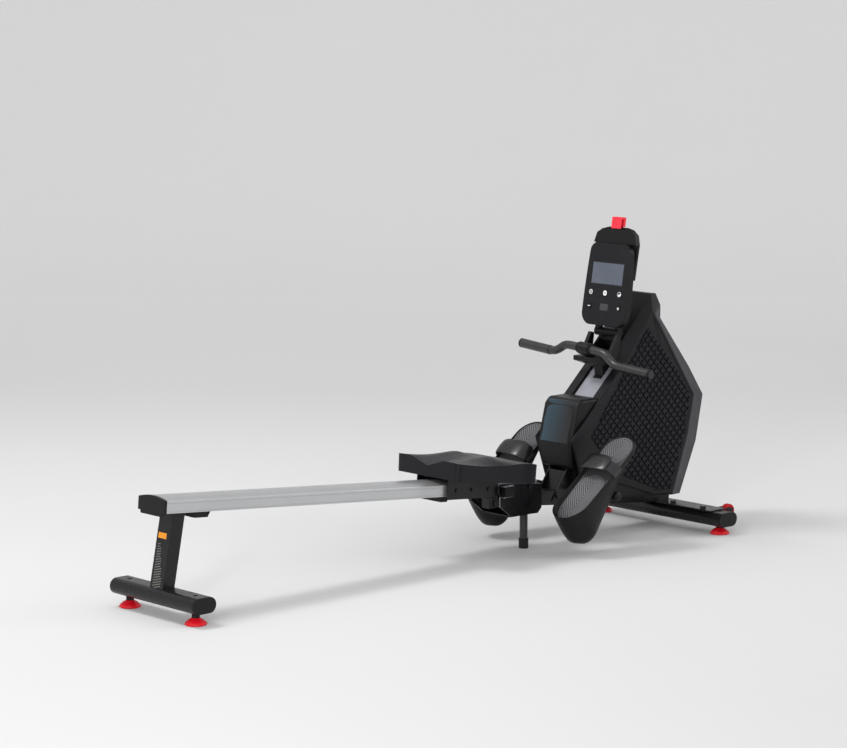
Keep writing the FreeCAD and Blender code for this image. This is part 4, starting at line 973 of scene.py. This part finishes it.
def stage():
    """A pale floor that curves up into a wall whose colour is painted lighter, making up for the key light
    falling off with distance.
    """
    yaw = math.radians(VIEW_YAW)
    material, tree, shader, coords = nodes_of("studio_floor")
    broad = noise(tree, mapped(tree, coords, (1, 1, 1)), 0.6, 3.0)
    split = tree.nodes.new("ShaderNodeSeparateXYZ")
    tree.links.new(mapped(tree, coords, (1, 1, 1), (0, 0, VIEW_YAW)), split.inputs["Vector"])
    # Painted light: the colour grows lighter from 3.6 m to 6.8 m along the view, to cancel the key light's
    # falloff.
    painted_falloff_lift = spread(tree, split.outputs["Y"], 0.0, 1.0, 3.6, 6.8)
    blend = tree.nodes.new("ShaderNodeMixRGB")
    tree.links.new(painted_falloff_lift, blend.inputs["Fac"])
    tree.links.new(tones(tree, broad, (0.655, 0.655, 0.655), (0.67, 0.67, 0.67)), blend.inputs["Color1"])
    tree.links.new(tones(tree, broad, (0.785, 0.785, 0.782), (0.795, 0.795, 0.792)), blend.inputs["Color2"])
    tree.links.new(blend.outputs["Color"], shader.inputs["Base Color"])
    shader.inputs["Roughness"].default_value = 0.75
    shader.inputs["Specular IOR Level"].default_value = 0.2
    ahead = Vector((math.sin(yaw), math.cos(yaw), 0))
    side = Vector((math.cos(yaw), -math.sin(yaw), 0))
    steps, flat, radius, half = 12, 7, 5, 40
    profile = [(-30, 0), (flat, 0)]
    for i in range(1, steps + 1):
        a = math.radians(90 * i / steps)
        profile.append((flat + radius * math.sin(a), radius - radius * math.cos(a)))
    profile.append((flat + radius, 26))
    verts = [ahead * d + side * s + Vector((0, 0, h)) for d, h in profile for s in (-half, half)]
    faces = [(2 * i, 2 * i + 1, 2 * i + 3, 2 * i + 2) for i in range(len(profile) - 1)]
    mesh = bpy.data.meshes.new("studio_floor")
    mesh.from_pydata([tuple(v) for v in verts], [], faces)
    floor = bpy.data.objects.new("studio_floor", mesh)
    bpy.context.scene.collection.objects.link(floor)
    mesh.materials.append(material)
    for face in mesh.polygons:
        face.use_smooth = True


def area(name, place, target, size, power):
    """A soft light aimed at a point."""
    light = bpy.data.lights.new(name, "AREA")
    light.shape = "RECTANGLE"
    light.size, light.size_y = size
    light.energy = power
    obj = bpy.data.objects.new(name, light)
    bpy.context.scene.collection.objects.link(obj)
    obj.location = place
    obj.rotation_euler = (Vector(target) - Vector(place)).to_track_quat("-Z", "Y").to_euler()


def lights():
    """Even light from all round, a soft key from behind on the left, and fills near the camera."""
    world = bpy.data.worlds.new("studio")
    bpy.context.scene.world = world
    world.use_nodes = True
    background = world.node_tree.nodes["Background"]
    background.inputs["Color"].default_value = (0.99, 0.99, 1.0, 1)
    background.inputs["Strength"].default_value = 0.84
    area("key", (-1.9, 1.5, 4.4), (0.3, 0, 0.2), (1.2, 1.2), 102)
    area("front_fill", (-4.6, -3.2, 2.4), (0.1, 0, 0.4), (1.6, 2.4), 31)
    area("strip", (-4.2, -2.4, 1.2), (-0.2, 0, 0.4), (0.35, 1.6), 45)
    area("right_fill", (3.8, -3.0, 2.6), (0.6, 0, 0.4), (1.6, 2.4), 45)


def camera():
    """A long lens at head height, behind and to the right of a rower."""
    data = bpy.data.cameras.new("camera")
    data.lens = 122.03
    data.sensor_width = 36
    data.clip_end = 200
    obj = bpy.data.objects.new("camera", data)
    bpy.context.scene.collection.objects.link(obj)
    obj.location = at(-4669.4, -6202.7, 1767.7)
    obj.rotation_euler = (math.radians(90 - 8.07), 0, math.radians(-VIEW_YAW))
    bpy.context.scene.camera = obj
    bpy.context.scene.view_settings.view_transform = "Standard"


dress_nodes()
housing_side(1, "left")
housing_side(-1, "right")
seat_pad()
footplate(1, "left")
footplate(-1, "right")
feet_and_wheels()
handle()
console_print()
rail()
pod()
small_parts()
post_prints()
stage()
lights()
camera()
